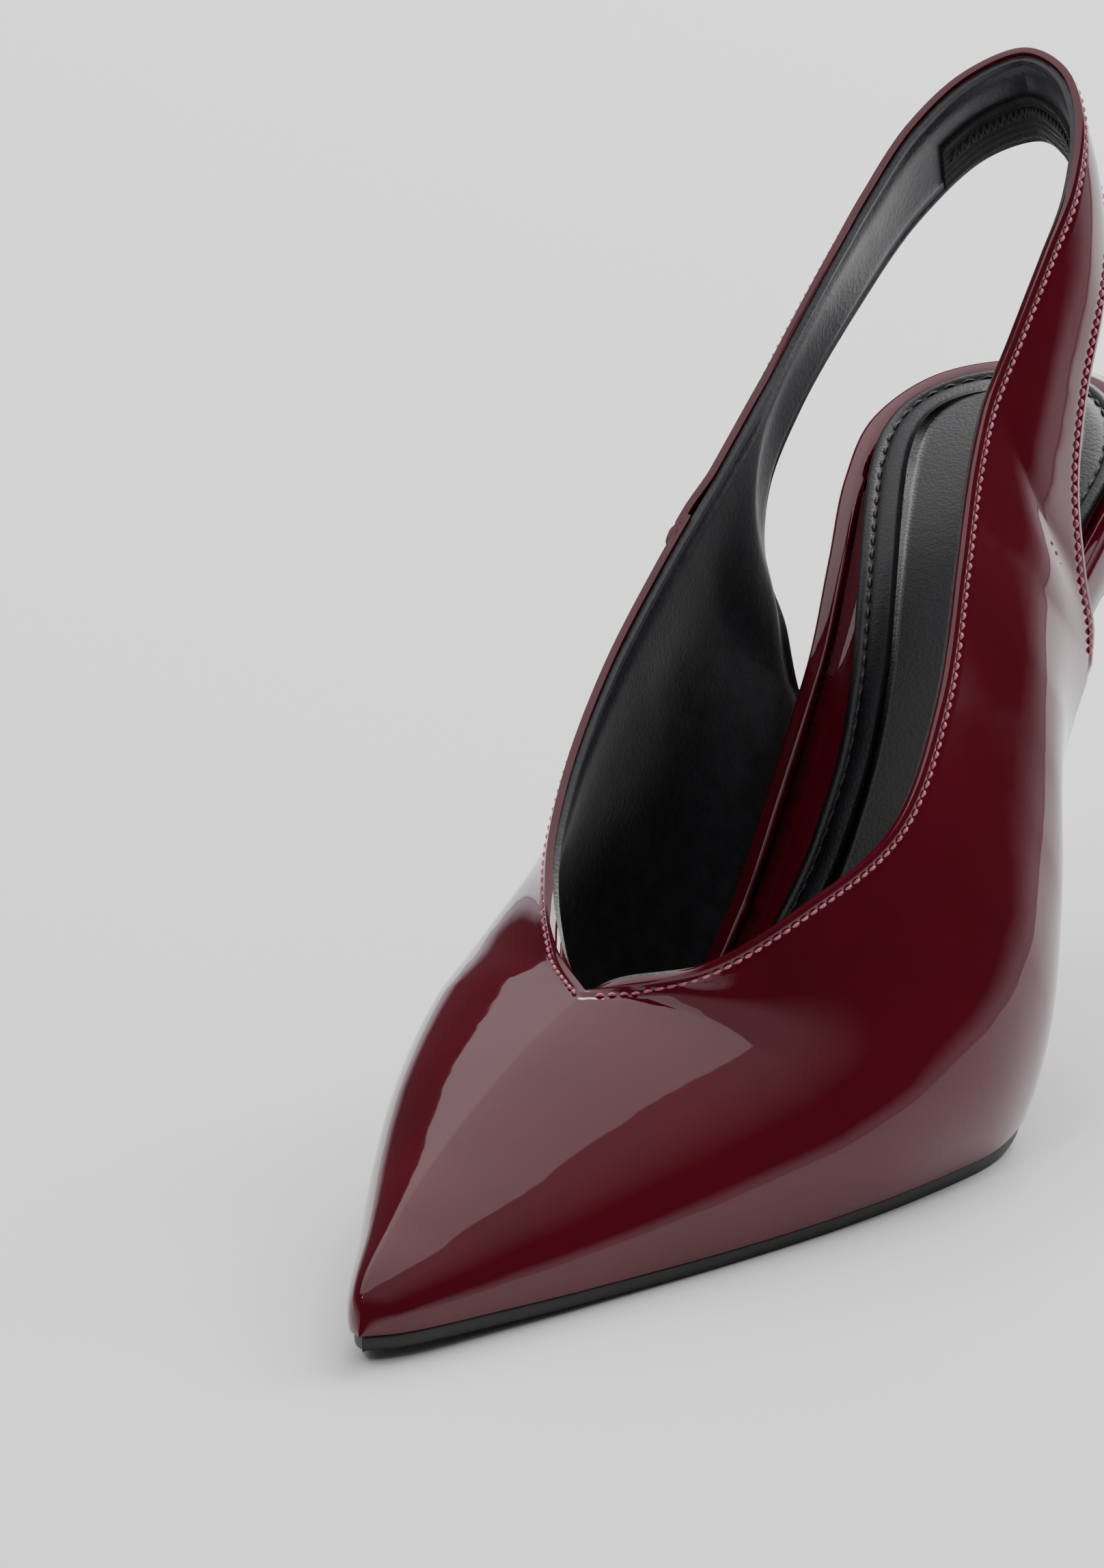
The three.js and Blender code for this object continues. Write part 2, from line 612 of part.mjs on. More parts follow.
// Heel sections from the seat down: front [y, z], back [y, z], half width and how far the section
// follows the seat's outline rather than an oval
const heelSections = [
  { front: [81.5, 66], back: [120, 85], half: 24, seat: 1 },
  { front: [81.9, 64.4], back: [118.3, 82.6], half: 23, seat: 0.9 },
  { front: [82.4, 61.5], back: [113.8, 76.2], half: 19.8, seat: 0.65 },
  { front: [83.1, 57], back: [108, 68.5], half: 15.5, seat: 0.35 },
  { front: [83.7, 50], back: [101.7, 57.5], half: 10.5, seat: 0.1 },
  { front: [83.9, 42], back: [96.6, 46.5], half: 7.3, seat: 0 },
  { front: [83.9, 32], back: [93.3, 34.5], half: 5.5, seat: 0 },
  { front: [83.8, 20], back: [91.4, 21], half: 4.3, seat: 0 },
  { front: [83.5, topPieceHeight + gap], back: [90.1, topPieceHeight + gap], half: 3.7, seat: 0 },
];
const heelSides = 20;

const heelSeat = [
  ...seatPlan.filter((p) => p.y >= breastY),
  ...steps(-1, 1, 12).map((t) => new THREE.Vector3(heelX + 22.5 * t, breastY, 0)),
];

function seatReach(angle) {
  const towards = new THREE.Vector2(Math.sin(angle), Math.cos(angle));
  let reach = 0;
  for (let i = 0; i < heelSeat.length; i += 1) {
    const a = new THREE.Vector2(heelSeat[i].x - heelX, heelSeat[i].y - 100);
    const next = heelSeat[(i + 1) % heelSeat.length];
    const edge = new THREE.Vector2(next.x - heelX, next.y - 100).sub(a);
    const cross = towards.cross(edge);
    if (Math.abs(cross) > 1e-9) {
      const r = a.cross(edge) / cross;
      const s = a.cross(towards) / cross;
      if (r > 0 && s >= -1e-6 && s <= 1 + 1e-6) reach = Math.max(reach, r);
    }
  }
  return [towards.x * reach, 100 + towards.y * reach];
}

function heelBody(inset, topGap, lid = 0) {
  const rings = heelSections.map(({ front, back, half, seat }) => {
    const ring = [];
    for (let i = 0; i < heelSides; i += 1) {
      const angle = (i / heelSides) * 2 * Math.PI;
      const squareness = Math.cos(angle) < 0 ? 2 / 3 : 0.95;
      const oval = [Math.sin(angle), Math.cos(angle)].map((c) => Math.sign(c) * Math.abs(c) ** squareness);
      const middle = (front[0] + back[0]) / 2;
      const halfLength = (back[0] - front[0]) / 2 - inset;
      const [seatX, seatY] = seatReach(angle);
      const shrink = (24 - inset) / 24;
      const x = THREE.MathUtils.lerp((half - inset) * oval[0], (seatX * half * shrink) / 24, seat);
      const seatShare = (seatY - 81.5) / 38.5;
      const seatPlaceY = front[0] + inset + seatShare * 2 * halfLength;
      const y = THREE.MathUtils.lerp(middle + halfLength * oval[1], seatPlaceY, seat);
      const share = (y - front[0]) / (back[0] - front[0]);
      const level = THREE.MathUtils.lerp(front[1], back[1], share);
      const z = seat === 1 ? soleHeight(y) - topGap : level;
      ring.push(new THREE.Vector3(heelX + x, y, z));
    }
    return ring;
  });
  if (lid > 0) rings.unshift(rings[0].map((p) => p.clone().setZ(p.z + lid)));
  const cap = [];
  for (let i = 1; i < heelSides - 1; i += 1) cap.push([0, i, i + 1]);
  return loft(rings, cap);
}

function addHeel() {
  const topGap = 0.45;
  const outside = heelBody(0, topGap);
  const cavity = heelBody(coverThickness, topGap, 3);
  const slot = uprightPin(2.4, 86.8, 0, 12);
  place('heel_cover', 'heelPatent', minus(outside, cavity, slot));
  const core = heelBody(coverThickness + gap, topGap);
  const dowelBore = uprightPin(1.95, dowelY, 0, 50.3);
  place('heel_core', 'plastic', minus(core, dowelBore, ...[screw, ...nails].map(headedHole)));
  const tube = uprightPin(1.6, dowelY, topPieceHeight + 0.6, 50);
  place('heel_dowel_tube', 'steel', minus(tube, uprightPin(1.05, dowelY, 0, 60)));
  const tip = heelTip();
  place('top_piece', 'tipRubber', minus(tip, uprightPin(1.05, dowelY, 1.7, 10)));
  place('top_piece_pin', 'steel', uprightPin(0.75, dowelY, 2, 24));
}

function heelTip() {
  const length = topPieceBack - topPieceFront;
  const outline = new THREE.Shape();
  const corner = 2.2;
  const [w, l] = [topPieceHalfWidth, length / 2];
  outline.moveTo(w, -l + corner);
  outline.lineTo(w, l - corner);
  outline.quadraticCurveTo(w, l, w - corner, l);
  outline.lineTo(-w + corner, l);
  outline.quadraticCurveTo(-w, l, -w, l - corner);
  outline.lineTo(-w, -l + corner);
  outline.quadraticCurveTo(-w, -l, -w + corner, -l);
  outline.lineTo(w - corner, -l);
  outline.quadraticCurveTo(w, -l, w, -l + corner);
  const body = new THREE.ExtrudeGeometry(outline, { depth: topPieceHeight, bevelEnabled: false, curveSegments: 3 });
  body.translate(heelX, topPieceFront + l, 0);
  return cleaned(body);
}

addUpper();
addStiffeners();
addThreads();
addRim();
addFootBed();
addOutsole();
addHeel();

export default shoe;
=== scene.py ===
import bpy
import json
import math
import numpy as np
from mathutils import Matrix, Vector


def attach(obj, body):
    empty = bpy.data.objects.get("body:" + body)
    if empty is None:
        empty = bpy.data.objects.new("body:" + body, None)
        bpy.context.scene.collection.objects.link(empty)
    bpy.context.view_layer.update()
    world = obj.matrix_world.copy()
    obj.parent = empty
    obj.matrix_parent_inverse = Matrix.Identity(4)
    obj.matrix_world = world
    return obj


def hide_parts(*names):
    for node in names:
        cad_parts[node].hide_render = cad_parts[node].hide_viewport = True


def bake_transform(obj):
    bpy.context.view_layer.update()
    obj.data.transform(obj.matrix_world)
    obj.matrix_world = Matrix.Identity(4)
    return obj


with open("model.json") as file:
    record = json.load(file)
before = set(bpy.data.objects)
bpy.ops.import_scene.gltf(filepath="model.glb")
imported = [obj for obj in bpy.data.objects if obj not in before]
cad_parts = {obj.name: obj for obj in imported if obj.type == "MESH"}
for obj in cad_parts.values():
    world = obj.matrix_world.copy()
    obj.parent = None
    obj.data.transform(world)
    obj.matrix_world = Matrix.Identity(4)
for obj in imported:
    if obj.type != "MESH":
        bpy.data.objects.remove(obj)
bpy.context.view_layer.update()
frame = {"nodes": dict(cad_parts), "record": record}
mm = 0.001
print("frame loaded")

# Camera and studio: lengths in metres, angles in degrees
cameraSetup = {"place": (0.6816, -1.5079, 0.5167), "turn": 25.38, "tilt": 15.57, "roll": -1.93,
               "lens": 265.6, "shiftX": -0.0078}


def addCamera(setup):
    turn, tilt, roll = [math.radians(setup[k]) for k in ("turn", "tilt", "roll")]
    back = Vector((math.sin(turn) * math.cos(tilt), -math.cos(turn) * math.cos(tilt), math.sin(tilt)))
    level = Vector((math.cos(turn), math.sin(turn), 0))
    upright = back.cross(level)
    right = math.cos(roll) * level + math.sin(roll) * upright
    up = math.cos(roll) * upright - math.sin(roll) * level
    data = bpy.data.cameras.new("camera")
    data.sensor_width = 36
    data.lens = setup["lens"]
    data.shift_x = setup["shiftX"]
    camera = bpy.data.objects.new("camera", data)
    turned = Matrix((right, up, back)).transposed().to_4x4()
    camera.matrix_world = Matrix.Translation(setup["place"]) @ turned
    bpy.context.collection.objects.link(camera)
    bpy.context.scene.camera = camera


addCamera(cameraSetup)

studio = {"floorRadius": 5.0, "floorColor": (0.9, 0.9, 0.9), "floorRoughness": 0.6, "floorGloss": 0.2,
          "worldStrength": 1.0,
          "sky": [(0.04, (0.82, 0.78, 0.84)), (0.16, (0.1, 0.09, 0.1)), (0.5, (0.1, 0.09, 0.1)),
                  (0.8, (0.6, 0.58, 0.62))]}
lamps = [
    {"name": "topBox", "place": (-0.5, 0.2, 1.6), "aim": (0, 0, 0), "size": (3.0, 2.6), "power": 26},
    {"name": "backWash", "place": (0.3, 2.4, 1.9), "aim": (0, 0, 0), "size": (3.0, 1.6), "power": 125},
    {"name": "spark", "place": (-0.1, -1.4, 1.3), "aim": (0, -0.1, 0.02), "size": (0.14, 0.14), "power": 3},
]


def addWorld(setup):
    world = bpy.data.worlds.new("studioWorld")
    world.use_nodes = True
    nodes, links = world.node_tree.nodes, world.node_tree.links
    coords = nodes.new("ShaderNodeTexCoord")
    split = nodes.new("ShaderNodeSeparateXYZ")
    ramp = nodes.new("ShaderNodeValToRGB")
    stops = ramp.color_ramp.elements
    for k, (place, color) in enumerate(setup["sky"]):
        stop = stops[k] if k < 2 else stops.new(place)
        stop.position = place
        stop.color = (*color, 1)
    links.new(coords.outputs["Generated"], split.inputs[0])
    links.new(split.outputs["Z"], ramp.inputs[0])
    links.new(ramp.outputs[0], nodes["Background"].inputs["Color"])
    nodes["Background"].inputs["Strength"].default_value = setup["worldStrength"]
    bpy.context.scene.world = world


def addLamp(lamp):
    data = bpy.data.lights.new(lamp["name"], "AREA")
    data.shape = "RECTANGLE"
    data.size, data.size_y = lamp["size"]
    data.energy = lamp["power"]
    obj = bpy.data.objects.new(lamp["name"], data)
    obj.location = lamp["place"]
    aim = Vector(lamp["aim"]) - Vector(lamp["place"])
    obj.rotation_euler = aim.to_track_quat("-Z", "Y").to_euler()
    bpy.context.collection.objects.link(obj)


addWorld(studio)
for lamp in lamps:
    addLamp(lamp)
print("camera and lights set")


# Finishes: feature sizes and bump heights in millimetres
mottle = (0.3, 0.72)  # where the dark and the light tint are reached


def newFinish(name, look):
    mat = bpy.data.materials.new(name)
    mat.use_nodes = True
    nodes, links = mat.node_tree.nodes, mat.node_tree.links
    shader = nodes["Principled BSDF"]
    coords = nodes.new("ShaderNodeTexCoord")
    toMm = nodes.new("ShaderNodeMapping")
    toMm.inputs["Scale"].default_value = (1000, 1000, 1000)
    links.new(coords.outputs["Object"], toMm.inputs["Vector"])
    tint = nodes.new("ShaderNodeTexNoise")
    tint.inputs["Scale"].default_value = 1 / look["tintSize"]
    tint.inputs["Detail"].default_value = 4
    links.new(toMm.outputs[0], tint.inputs["Vector"])
    ramp = nodes.new("ShaderNodeValToRGB")
    for stop, place, color in zip(ramp.color_ramp.elements, mottle, (look["dark"], look["light"])):
        stop.position = place
        stop.color = (*color, 1)
    links.new(tint.outputs["Fac"], ramp.inputs[0])
    links.new(ramp.outputs[0], shader.inputs["Base Color"])
    shader.inputs["Metallic"].default_value = look.get("metal", 0)
    shader.inputs["IOR"].default_value = look.get("ior", 1.5)
    shader.inputs["Sheen Weight"].default_value = look.get("sheen", 0)
    wear = nodes.new("ShaderNodeMapRange")  # gloss varies a little with the same mottling
    wear.inputs["To Min"].default_value = look["rough"][0]
    wear.inputs["To Max"].default_value = look["rough"][1]
    links.new(tint.outputs["Fac"], wear.inputs["Value"])
    links.new(wear.outputs[0], shader.inputs["Roughness"])
    below = None
    for kind, size, height in look["bumps"]:
        if kind == "cells":
            grain = nodes.new("ShaderNodeTexVoronoi")
            out = grain.outputs["Distance"]
        elif kind == "weave":
            grain = nodes.new("ShaderNodeTexWave")
            grain.bands_direction = "DIAGONAL"
            grain.inputs["Distortion"].default_value = 1.2
            out = grain.outputs["Fac"]
        else:
            grain = nodes.new("ShaderNodeTexNoise")
            grain.inputs["Detail"].default_value = 3
            out = grain.outputs["Fac"]
        grain.inputs["Scale"].default_value = 1 / size
        links.new(toMm.outputs[0], grain.inputs["Vector"])
        bump = nodes.new("ShaderNodeBump")
        bump.inputs["Strength"].default_value = 1
        bump.inputs["Distance"].default_value = height * mm
        links.new(out, bump.inputs["Height"])
        if below:
            links.new(below.outputs[0], bump.inputs["Normal"])
        below = bump
    if below:
        links.new(below.outputs[0], shader.inputs["Normal"])
    return mat


finishLooks = {
    "patent": {"dark": (0.068, 0.0008, 0.0055), "light": (0.088, 0.0012, 0.008), "tintSize": 22,
               "rough": (0.03, 0.055), "ior": 1.5, "bumps": [("noise", 26, 0.16), ("noise", 5, 0.008)]},
    "heelPatent": {"dark": (0.062, 0.0008, 0.005), "light": (0.08, 0.0011, 0.0075), "tintSize": 18,
                   "rough": (0.04, 0.08), "ior": 1.52, "bumps": [("noise", 12, 0.05)]},
    "liningLeather": {"dark": (0.01, 0.011, 0.014), "light": (0.02, 0.022, 0.027), "tintSize": 3,
                      "rough": (0.34, 0.5), "sheen": 0.15,
                      "bumps": [("cells", 0.7, 0.05), ("noise", 9, 0.18)]},
    "sockLeather": {"dark": (0.004, 0.004, 0.0055), "light": (0.008, 0.008, 0.0105), "tintSize": 9,
                    "rough": (0.34, 0.46), "ior": 1.38,
                    "bumps": [("cells", 0.55, 0.03), ("noise", 12, 0.15)]},
    "roseThread": {"dark": (0.48, 0.06, 0.13), "light": (0.85, 0.24, 0.34), "tintSize": 0.8,
                   "rough": (0.2, 0.32), "sheen": 0.3, "bumps": [("weave", 0.35, 0.05)]},
    "blackThread": {"dark": (0.012, 0.014, 0.013), "light": (0.035, 0.04, 0.038), "tintSize": 0.8,
                    "rough": (0.45, 0.6), "bumps": [("weave", 0.3, 0.05)]},
    "elastic": {"dark": (0.008, 0.008, 0.009), "light": (0.018, 0.018, 0.02), "tintSize": 2,
                "rough": (0.5, 0.65), "bumps": [("weave", 0.8, 0.12)]},
    "soleResin": {"dark": (0.006, 0.006, 0.007), "light": (0.013, 0.013, 0.014), "tintSize": 5,
                  "rough": (0.4, 0.58), "bumps": [("noise", 0.5, 0.03), ("noise", 14, 0.1)]},
    "tipRubber": {"dark": (0.006, 0.006, 0.007), "light": (0.012, 0.012, 0.014), "tintSize": 3,
                  "rough": (0.42, 0.6), "bumps": [("noise", 0.4, 0.03)]},
    "stiffener": {"dark": (0.5, 0.45, 0.36), "light": (0.62, 0.57, 0.47), "tintSize": 3,
                  "rough": (0.8, 0.95), "bumps": [("noise", 0.5, 0.05)]},
    "board": {"dark": (0.34, 0.23, 0.13), "light": (0.45, 0.32, 0.2), "tintSize": 2.5, "rough": (0.75, 0.9),
              "bumps": [("noise", 0.6, 0.05)]},
    "foam": {"dark": (0.66, 0.62, 0.5), "light": (0.78, 0.75, 0.64), "tintSize": 1.5, "rough": (0.85, 0.95),
             "bumps": [("cells", 0.6, 0.1)]},
    "heelPlastic": {"dark": (0.022, 0.018, 0.02), "light": (0.032, 0.027, 0.03), "tintSize": 6,
                    "rough": (0.45, 0.55), "bumps": [("noise", 0.8, 0.02)]},
    "steel": {"dark": (0.42, 0.43, 0.45), "light": (0.55, 0.56, 0.58), "tintSize": 2, "rough": (0.25, 0.4),
              "metal": 1, "bumps": [("noise", 0.4, 0.01)]},
}
finishes = {name: newFinish(name, look) for name, look in finishLooks.items()}
slotFinish = {"patent": "patent", "heel_patent": "heelPatent", "lining_leather": "liningLeather",
              "sock_leather": "sockLeather", "rose_thread": "roseThread", "black_thread": "blackThread",
              "stiffener": "stiffener", "fibre_board": "board", "foam": "foam", "elastic": "elastic",
              "sole_resin": "soleResin", "heel_plastic": "heelPlastic", "tip_rubber": "tipRubber",
              "steel": "steel"}
for part in frame["record"]["subparts"]:  # the hidden layers keep their own solids
    node = frame["nodes"][part["node"]]
    node.data.materials.clear()
    node.data.materials.append(finishes[slotFinish[part["material_slot"]]])
print("finishes made")


# Curves and sections, in millimetres
def smooth(low, high, x):
    s = np.clip((np.asarray(x, float) - low) / (high - low), 0, 1)
    return s * s * (3 - 2 * s)


def hump(x, middle, width):
    return np.exp(-((x - middle) / width) ** 2)


soleLine = np.array([(-119.5, 4.4), (-80, 3), (-50, 2.5), (-8, 2.5), (6, 3.8), (18, 9.6), (30, 22),
                     (42, 37.3), (56, 52), (72, 63.8), (94, 75.2), (120, 85.8)])


def soleHeight(y):  # smooth curve through the sole line that never overshoots
    ky, kz = soleLine[:, 0], soleLine[:, 1]
    slope = np.diff(kz) / np.diff(ky)
    both = slope[:-1] * slope[1:]
    mean = np.where(both > 0, 2 * both / np.where(both > 0, slope[:-1] + slope[1:], 1), 0)
    tangent = np.concatenate([[slope[0]], mean, [slope[-1]]])
    at = np.clip(np.asarray(y, float), ky[0], ky[-1])
    i = np.clip(np.searchsorted(ky, at, side="right") - 1, 0, len(ky) - 2)
    h = ky[i + 1] - ky[i]
    t = (at - ky[i]) / h
    return ((2 * t**3 - 3 * t**2 + 1) * kz[i] + (t**3 - 2 * t**2 + t) * h * tangent[i]
            + (3 * t**2 - 2 * t**3) * kz[i + 1] + (t**3 - t**2) * h * tangent[i + 1])


def onBed(x, y, height):  # a point on the sole line, raised square to it
    x, y, height = np.broadcast_arrays(np.asarray(x, float), y, height)
    lean = np.arctan(soleHeight(y + 0.5) - soleHeight(y - 0.5))
    return np.stack([x, y - height * np.sin(lean), soleHeight(y) + height * np.cos(lean)], axis=-1)


def splineAt(points, t, before=None, after=None):
    p = np.array([(*q, soleHeight(q[1])) if len(q) == 2 else q for q in points], float)
    before = 2 * p[0] - p[1] if before is None else np.array(before, float)
    after = 2 * p[-1] - p[-2] if after is None else np.array(after, float)
    place = np.clip(np.atleast_1d(t), 0, 1) * (len(p) - 1)
    i = np.minimum(place.astype(int), len(p) - 2)
    w = (place - i)[:, None]
    p = np.vstack([before, p, after])
    a, b, c, d = p[i], p[i + 1], p[i + 2], p[i + 3]

    def spacing(u, v):
        return np.maximum(np.sum((u - v) ** 2, axis=1), 1e-12)[:, None] ** 0.25

    ab, bc, cd = spacing(a, b), spacing(b, c), spacing(c, d)
    m1 = ((b - a) / ab - (c - a) / (ab + bc) + (c - b) / bc) * bc
    m2 = ((c - b) / bc - (d - b) / (bc + cd) + (d - c) / cd) * bc
    return b + m1 * w + (3 * c - 3 * b - 2 * m1 - m2) * w**2 + (2 * b - 2 * c + m1 + m2) * w**3


def evenly(points, count):  # the curve resampled at equal steps
    fine = splineAt(points, np.linspace(0, 1, 1200))
    run = np.concatenate([[0], np.cumsum(np.linalg.norm(np.diff(fine, axis=0), axis=1))])
    return np.stack([np.interp(np.linspace(0, run[-1], count), run, fine[:, k]) for k in range(3)], axis=1)


# The upper is a skin of cross rows: rows 0 to 12 stand on the sole, rows 12 to 20 follow the strap to the
# middle of the back
soleRows, throatRow, lastRow = 12, 5, 20
seamRow, seamFootRow = 11.9, 9.2
rowWidth = 12  # millimetres from one row to the next near the seam
rearShift = 1.6  # by how many rows the upper ends of the rear rows stand further forward
slideShare = 0.4  # of the rear rows' run forward, what is left near the top
handles = {"low": 0.9, "high": 0.85, "highSwell": 0.55}  # of the two middle control points of a row
strapSwell, strapFull = 0.8, 0.5
throat = (-8.3, -49, 35.8)
strapRoot = {1: (17, 46, 103), -1: (-20.7, 41, 101.5)}
strapLow, strapTop = (2, 106.6, 130.3), (2, 98.3, 146.2)
ridge = [(-12, -119.5, 4.4), (-12.3, -117, 10.5), (-13, -104, 17), (-13, -88, 23), (-11.3, -68, 30), throat]
outerSide = {
    "sign": 1,
    "sole": [(-12, -119.5), (-7.3, -115.5), (2, -98), (11.5, -78), (20.5, -58), (28.3, -38.5),
             (33.8, -20), (37, -2), (36, 12), (32, 25), (28, 38), (26, 51), (25.5, 64)],
    "back": [(25.5, 64), (27, 61.5, 65.5), (26.7, 59.3, 75), (24.8, 62, 87), (23, 70, 98.5),
             (21.3, 82, 111), (17, 93.5, 120.5), (10.2, 102.3, 127.5), strapLow],
    "topline": [throat, (7, -43, 38.8), (18.5, -29, 45.8), (25.5, -12, 53.5), (25.6, 6, 68), (22, 23, 84),
                (18.8, 36, 95.5), strapRoot[1]],
    "strap": [strapRoot[1], (16.8, 51, 106.8), (16.8, 56.5, 110.8), (16.9, 63, 115.8),
              (17.1, 70.5, 121.7), (17.3, 80, 129.4), (14.8, 90, 138.9), (9.5, 96, 144.3), strapTop],
    "swell": [0, 1, 2, 3, 5, 8, 11, 13, 14, 14, 13, 11, 7],
    "flat": [1, 1, 1, 1, 1, 1, 0.62, 0.4, 0.26, 0.17, 0.1, 0.05, 0],
    "full": [0.55] * 13,
    "slide": 8,
}
innerSide = {
    "sign": -1,
    "sole": [(-12, -119.5), (-15, -116.5), (-21.5, -99), (-28.5, -79), (-34.8, -58), (-38.3, -39),
             (-38.8, -22), (-36.3, -5), (-32, 8), (-26.5, 21), (-22.5, 34), (-20.8, 45), (-20.9, 56)],
    "back": [(-20.9, 56), (-22.5, 54.4, 61.5), (-26, 54, 71), (-27, 57.5, 83), (-25, 66, 94.5),
             (-20.5, 80, 108), (-15.5, 93, 119), (-7.6, 103.3, 127.5), strapLow],
    "topline": [throat, (-16.8, -40, 38.8), (-25, -26, 46.5), (-28.6, -11, 57), (-28.2, 3.5, 69.8),
                (-25.7, 17.5, 82), (-22.8, 30, 92.6), strapRoot[-1]],
    "strap": [strapRoot[-1], (-19.6, 46.5, 106), (-18.7, 53, 111), (-17.9, 60, 116), (-17, 67.5, 121.3),
              (-15.9, 75.5, 127), (-12.6, 86, 135.8), (-6.5, 94.5, 142.7), strapTop],
    "swell": [0, 0.6, 1.6, 2.6, 3.4, 6, 11, 15, 15, 13, 11, 9.5, 8],
    "flat": [1, 1, 1, 1, 1, 1, 0.9, 0.75, 0.5, 0.3, 0.1, 0.05, 0],
    "full": [0.55, 0.6, 0.75, 0.9, 0.95, 0.95, 0.9, 0.8, 0.7, 0.6, 0.55, 0.52, 0.52],
    "slide": 8,
}
otherSide = {1: innerSide, -1: outerSide}


def lowerEdge(side, rows):
    rows = np.asarray(rows, float)
    sole = splineAt(side["sole"], rows / soleRows)
    sole[:, 2] = soleHeight(sole[:, 1])
    share = (rows - soleRows) / (lastRow - soleRows)
    back = splineAt(side["back"], share, after=otherSide[side["sign"]]["back"][-2])
    return np.where((rows <= soleRows)[:, None], sole, back)


def upperEdge(side, rows):
    rows = np.asarray(rows, float)
    rows = rows - rearShift * smooth(8.5, soleRows, rows) * (1 - smooth(14, 18, rows))
    middle = splineAt(ridge, rows / throatRow)
    top = splineAt(side["topline"], (rows - throatRow) / (soleRows - throatRow), after=side["strap"][1])
    strap = splineAt(side["strap"], (rows - soleRows) / (lastRow - soleRows), before=side["topline"][-2],
                     after=otherSide[side["sign"]]["strap"][-2])
    rows = rows[:, None]
    return np.where(rows <= throatRow, middle, np.where(rows <= soleRows, top, strap))


def smoothList(values, rows):
    line = splineAt([(k, v, 0) for k, v in enumerate(values)], rows / (len(values) - 1))[:, 1]
    return np.clip(line, min(values), max(values))


def sections(side, rows):  # four control points of each row's cross curve
    rows = np.asarray(rows, float)
    low, top = lowerEdge(side, rows), upperEdge(side, rows)
    rise = top - low
    step = 0.01
    onSole = rows <= soleRows
    foot = np.minimum(rows, soleRows - step)
    alongLow = lowerEdge(side, foot + step) - lowerEdge(side, np.maximum(foot - step, 0))
    alongTop = upperEdge(side, np.minimum(rows + step, lastRow))
    alongTop = alongTop - upperEdge(side, np.maximum(rows - step, 0.02))
    turn = smooth(0, 2.5, rows - soleRows)[:, None]  # the swell turns from the sole edge to the strap
    unit = [v / np.linalg.norm(v, axis=1)[:, None] for v in (alongLow, alongTop)]
    along = unit[0] * (1 - turn) + unit[1] * turn
    outward = np.stack([along[:, 1], -along[:, 0], 0 * along[:, 0]], axis=1) * side["sign"]
    outward /= np.linalg.norm(outward, axis=1)[:, None]
    swell = smoothList(side["swell"], rows)
    rearSwell = side["swell"][-1] + (strapSwell - side["swell"][-1]) * smooth(0, 2, rows - soleRows)
    swell = np.where(onSole, swell, rearSwell)
    flat = np.where(onSole, smoothList(side["flat"], rows), 0)
    rearFull = side["full"][-1] + (strapFull - side["full"][-1]) * smooth(0, 2.5, rows - soleRows)
    full = np.where(onSole, smoothList(side["full"], rows), rearFull)
    lean = handles["low"] * (1 - flat) ** 2
    b1 = (low + outward * swell[:, None]
          + rise * np.stack([full * lean, full * lean, full * handles["low"]], axis=1))
    b2 = (top + outward * (swell * handles["highSwell"] * (1 - flat))[:, None]
          - rise * np.stack([full, full, full * (1 - flat) * handles["high"]], axis=1))
    # the rear rows first run forward, so that they leave the upright rear edge squarely
    slide = side["slide"] * (smooth(8.5, soleRows, rows) * (1 - smooth(14, 17.5, rows)))[:, None]
    level = [v[:, :2] / np.linalg.norm(v[:, :2], axis=1)[:, None] for v in unit]
    b1[:, :2] -= level[0] * slide
    b2[:, :2] -= level[1] * slide * slideShare
    return np.stack([low, b1, b2, top], axis=1)


def crossCurve(cross, t):
    a, b, c, d = [cross[..., k, :] for k in range(4)]
    t = t[..., None]
    return a * (1 - t) ** 3 + 3 * b * t * (1 - t) ** 2 + 3 * c * t**2 * (1 - t) + d * t**3


def skinAt(side, rows, t):  # any matching lists of row and t
    rows, t = np.broadcast_arrays(np.asarray(rows, float), t)
    return crossCurve(sections(side, rows.ravel()), t.ravel()).reshape(*rows.shape, 3)


# Columns stand close together near both edges of a row, in millimetres from the edge
edgeSteps = np.array([0, 0.3, 0.6, 0.9, 1.2, 1.4, 1.6, 1.8, 2.0, 2.4, 3.2, 4.6, 6.4])
middleSteps, fineSteps = 14, 80
shortRow = 24  # rows shorter than this have their edge columns squeezed


def heightsOf(side, rows):  # t of every column of each row, and the length of the row
    fine = np.linspace(0, 1, fineSteps)
    line = crossCurve(sections(side, rows)[:, None], np.broadcast_to(fine, (len(rows), fineSteps)))
    steps = np.cumsum(np.linalg.norm(np.diff(line, axis=1), axis=2), axis=1)
    out = []
    for run in np.concatenate([np.zeros((len(rows), 1)), steps], axis=1):
        share = min(1, run[-1] / shortRow)
        low, high = edgeSteps * share, run[-1] - edgeSteps[::-1] * share
        middle = np.linspace(low[-1], high[0], middleSteps + 2)[1:-1]
        out.append(np.interp(np.concatenate([low, middle, high]), run, fine))
    return np.array(out), steps[:, -1]


def toLine(points, line):  # distance of each point from a curve given as close points
    points, out = np.asarray(points), []
    a, b = line[:-1], line[1:]
    along = b - a
    for p in points:
        share = np.clip(np.sum((p - a) * along, axis=1) / np.sum(along**2, axis=1), 0, 1)
        out.append(np.min(np.linalg.norm(p - a - along * share[:, None], axis=1)))
    return np.array(out)


def wholeEdge(edge, rows):  # an edge from the outer side round to the inner side
    return np.vstack([edge(outerSide, rows), edge(innerSide, rows)[-2::-1]])


topCurve = wholeEdge(upperEdge, np.linspace(throatRow, lastRow, 500))
rearCurve = wholeEdge(lowerEdge, np.linspace(soleRows + 0.001, lastRow, 300))


def seamRowAt(t):
    return seamFootRow + (seamRow - seamFootRow) * t


